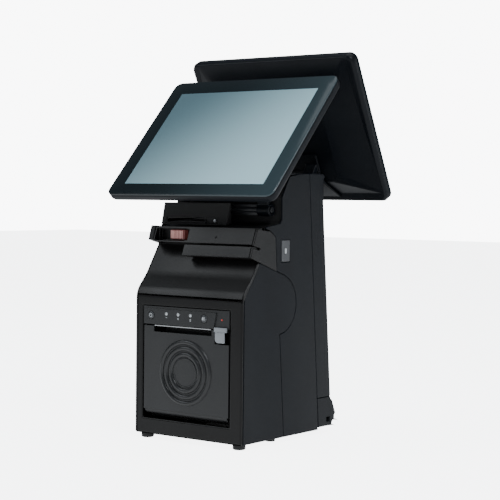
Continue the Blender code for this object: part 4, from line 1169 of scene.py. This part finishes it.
# ---------------------------------------------------------------- inner works
@dataclass
class InnerWorks(Assembly):
    """Chassis, boards, supply, fan and connectors inside the column."""

    def build(self) -> None:
        """Dress the inner pieces."""
        self.dress(Finish.STEEL, "column_chassis", "power_supply", "storage_drive")
        self.dress(Finish.BOARD, "mainboard")
        self.dress(Finish.ALLOY, "heat_sink")
        self.rework("cooling_fan_frame", Body.COLUMN, Finish.INNER, 0.0004)
        self.rework("cooling_fan_rotor", Body.FAN, Finish.INNER, 0.0002)
        self.dress(Finish.INNER, "speaker", "connector_block", "power_inlet")


# ---------------------------------------------------------------- studio
@dataclass(frozen=True)
class Softbox:
    """A rectangular area light: where it stands, what it faces, its size and its watts."""

    name: str
    place: Point
    target: Point
    size: Span
    power: float


@dataclass
class Studio:
    """Pale floor, soft lights and the camera; angles in degrees, the lens in millimetres."""

    eye: Point = (1.0173, -1.3470, 0.2740)
    azimuth: float = 37.10
    elevation: float = 2.10
    roll: float = 0.61
    lens: float = 104.6
    floor_size: float = 14.0
    floor_colour: Colour = (0.88, 0.88, 0.88)
    floor_glow: float = 0.8
    floor_seen: float = 5.5
    surround_light: float = 0.20
    backdrop_light: float = 9.0
    light_colour: Colour = (0.92, 0.96, 1.0)
    softboxes: tuple[Softbox, ...] = (
        Softbox("key", (-1.3, -1.5, 1.7), (0.0, 0.0, 0.2), (1.4, 1.0), 17.0),
        Softbox("side", (2.2, 0.5, 0.9), (0.0, 0.0, 0.2), (0.5, 1.6), 3.0),
        Softbox("top", (0.0, 0.3, 2.1), (0.0, 0.0, 0.3), (1.6, 1.2), 12.0),
        Softbox("edge", (1.25, -0.66, 1.75), (0.0, -0.08, 0.2), (0.6, 0.25), 22.0),
        Softbox("strip", (1.80, -1.22, 0.75), (0.0, -0.08, 0.2), (0.7, 1.3), 2.5),
        Softbox("rim", (1.7, 1.6, 0.7), (0.0, 0.0, 0.25), (0.3, 1.2), 6.0),
    )

    def floor(self) -> None:
        """A wide pale floor with a trace of mottling, dimmer as a light than as the camera sees it."""
        graph = Graph("studio_floor")
        mottle = graph.noise(3.0, 3.0)
        colour = graph.blend(graph.spread(mottle.outputs["Fac"], 0.0, 1.0),
                             shade(self.floor_colour, 0.985), self.floor_colour)
        graph.link(colour, graph.shader.inputs["Base Color"])
        graph.shader.inputs["Roughness"].default_value = 0.55
        graph.shader.inputs["Specular IOR Level"].default_value = 0.15
        graph.shader.inputs["Emission Color"].default_value = (0.97, 0.985, 1.0, 1.0)
        rays = graph.add("ShaderNodeLightPath")
        glow = graph.add("ShaderNodeMapRange")
        glow.inputs["To Min"].default_value = self.floor_glow
        glow.inputs["To Max"].default_value = self.floor_seen
        graph.link(rays.outputs["Is Camera Ray"], glow.inputs["Value"])
        graph.link(glow.outputs["Result"], graph.shader.inputs["Emission Strength"])
        bpy.ops.mesh.primitive_plane_add(size=self.floor_size, location=(0.0, 0.0, 0.0))
        plane = bpy.context.active_object
        plane.name = "studio_floor"
        plane.data.materials.append(graph.material)

    def softbox(self, box: Softbox) -> None:
        """Add a rectangular area light.

        Args:
            box: The light's name, place, target, size and power.
        """
        data = bpy.data.lights.new(box.name, "AREA")
        data.shape = "RECTANGLE"
        data.size, data.size_y = box.size
        data.energy = box.power
        data.color = self.light_colour
        light = bpy.data.objects.new(box.name, data)
        light.location = box.place
        way = Vector(box.target) - Vector(box.place)
        light.rotation_euler = way.to_track_quat("-Z", "Y").to_euler()
        bpy.context.scene.collection.objects.link(light)

    def surroundings(self) -> None:
        """An even surround, dimmer as a light than as the backdrop that the camera sees."""
        world = bpy.data.worlds.new("surround")
        world.use_nodes = True
        nodes, links = world.node_tree.nodes, world.node_tree.links
        lit = nodes["Background"]
        lit.inputs["Color"].default_value = (0.80, 0.90, 1.0, 1.0)
        lit.inputs["Strength"].default_value = self.surround_light
        seen = nodes.new("ShaderNodeBackground")
        seen.inputs["Color"].default_value = (0.98, 0.99, 1.0, 1.0)
        seen.inputs["Strength"].default_value = self.backdrop_light
        rays = nodes.new("ShaderNodeLightPath")
        either = nodes.new("ShaderNodeMixShader")
        links.new(rays.outputs["Is Camera Ray"], either.inputs["Fac"])
        links.new(lit.outputs["Background"], either.inputs[1])
        links.new(seen.outputs["Background"], either.inputs[2])
        links.new(either.outputs["Shader"], nodes["World Output"].inputs["Surface"])
        bpy.context.scene.world = world

    def camera(self) -> None:
        """Set the camera at the operator's right."""
        azimuth, elevation, roll = (math.radians(a) for a in (self.azimuth, self.elevation, self.roll))
        back = Vector((math.sin(azimuth) * math.cos(elevation),
                       -math.cos(azimuth) * math.cos(elevation), math.sin(elevation)))
        right = (-back).cross(Vector((0, 0, 1))).normalized()
        up = right.cross(-back)
        turned_right = math.cos(roll) * right + math.sin(roll) * up
        turned_up = -math.sin(roll) * right + math.cos(roll) * up
        data = bpy.data.cameras.new("camera")
        data.lens = self.lens
        data.sensor_width = 36.0
        camera = bpy.data.objects.new("camera", data)
        columns = Matrix((turned_right, turned_up, back)).transposed().to_4x4()
        camera.matrix_world = Matrix.Translation(self.eye) @ columns
        bpy.context.scene.collection.objects.link(camera)
        bpy.context.scene.camera = camera

    def build(self) -> None:
        """Set up the studio."""
        self.floor()
        self.surroundings()
        for box in self.softboxes:
            self.softbox(box)
        self.camera()


def main() -> None:
    """Build the studio and every sub-assembly."""
    logging.basicConfig(level=logging.INFO, format="%(name)s: %(message)s")
    Studio().build()
    Display("main_display", Body.MAIN, (0.0, -0.1216, 0.2753), 43.05, False).build()
    Display("customer_display", Body.CUSTOMER, (0.0, 0.1216, 0.2745), 26.57, True).build()
    Column().build()
    Printer().build()
    CardReaders().build()
    InnerWorks().build()


if __name__ == "__main__":
    main()
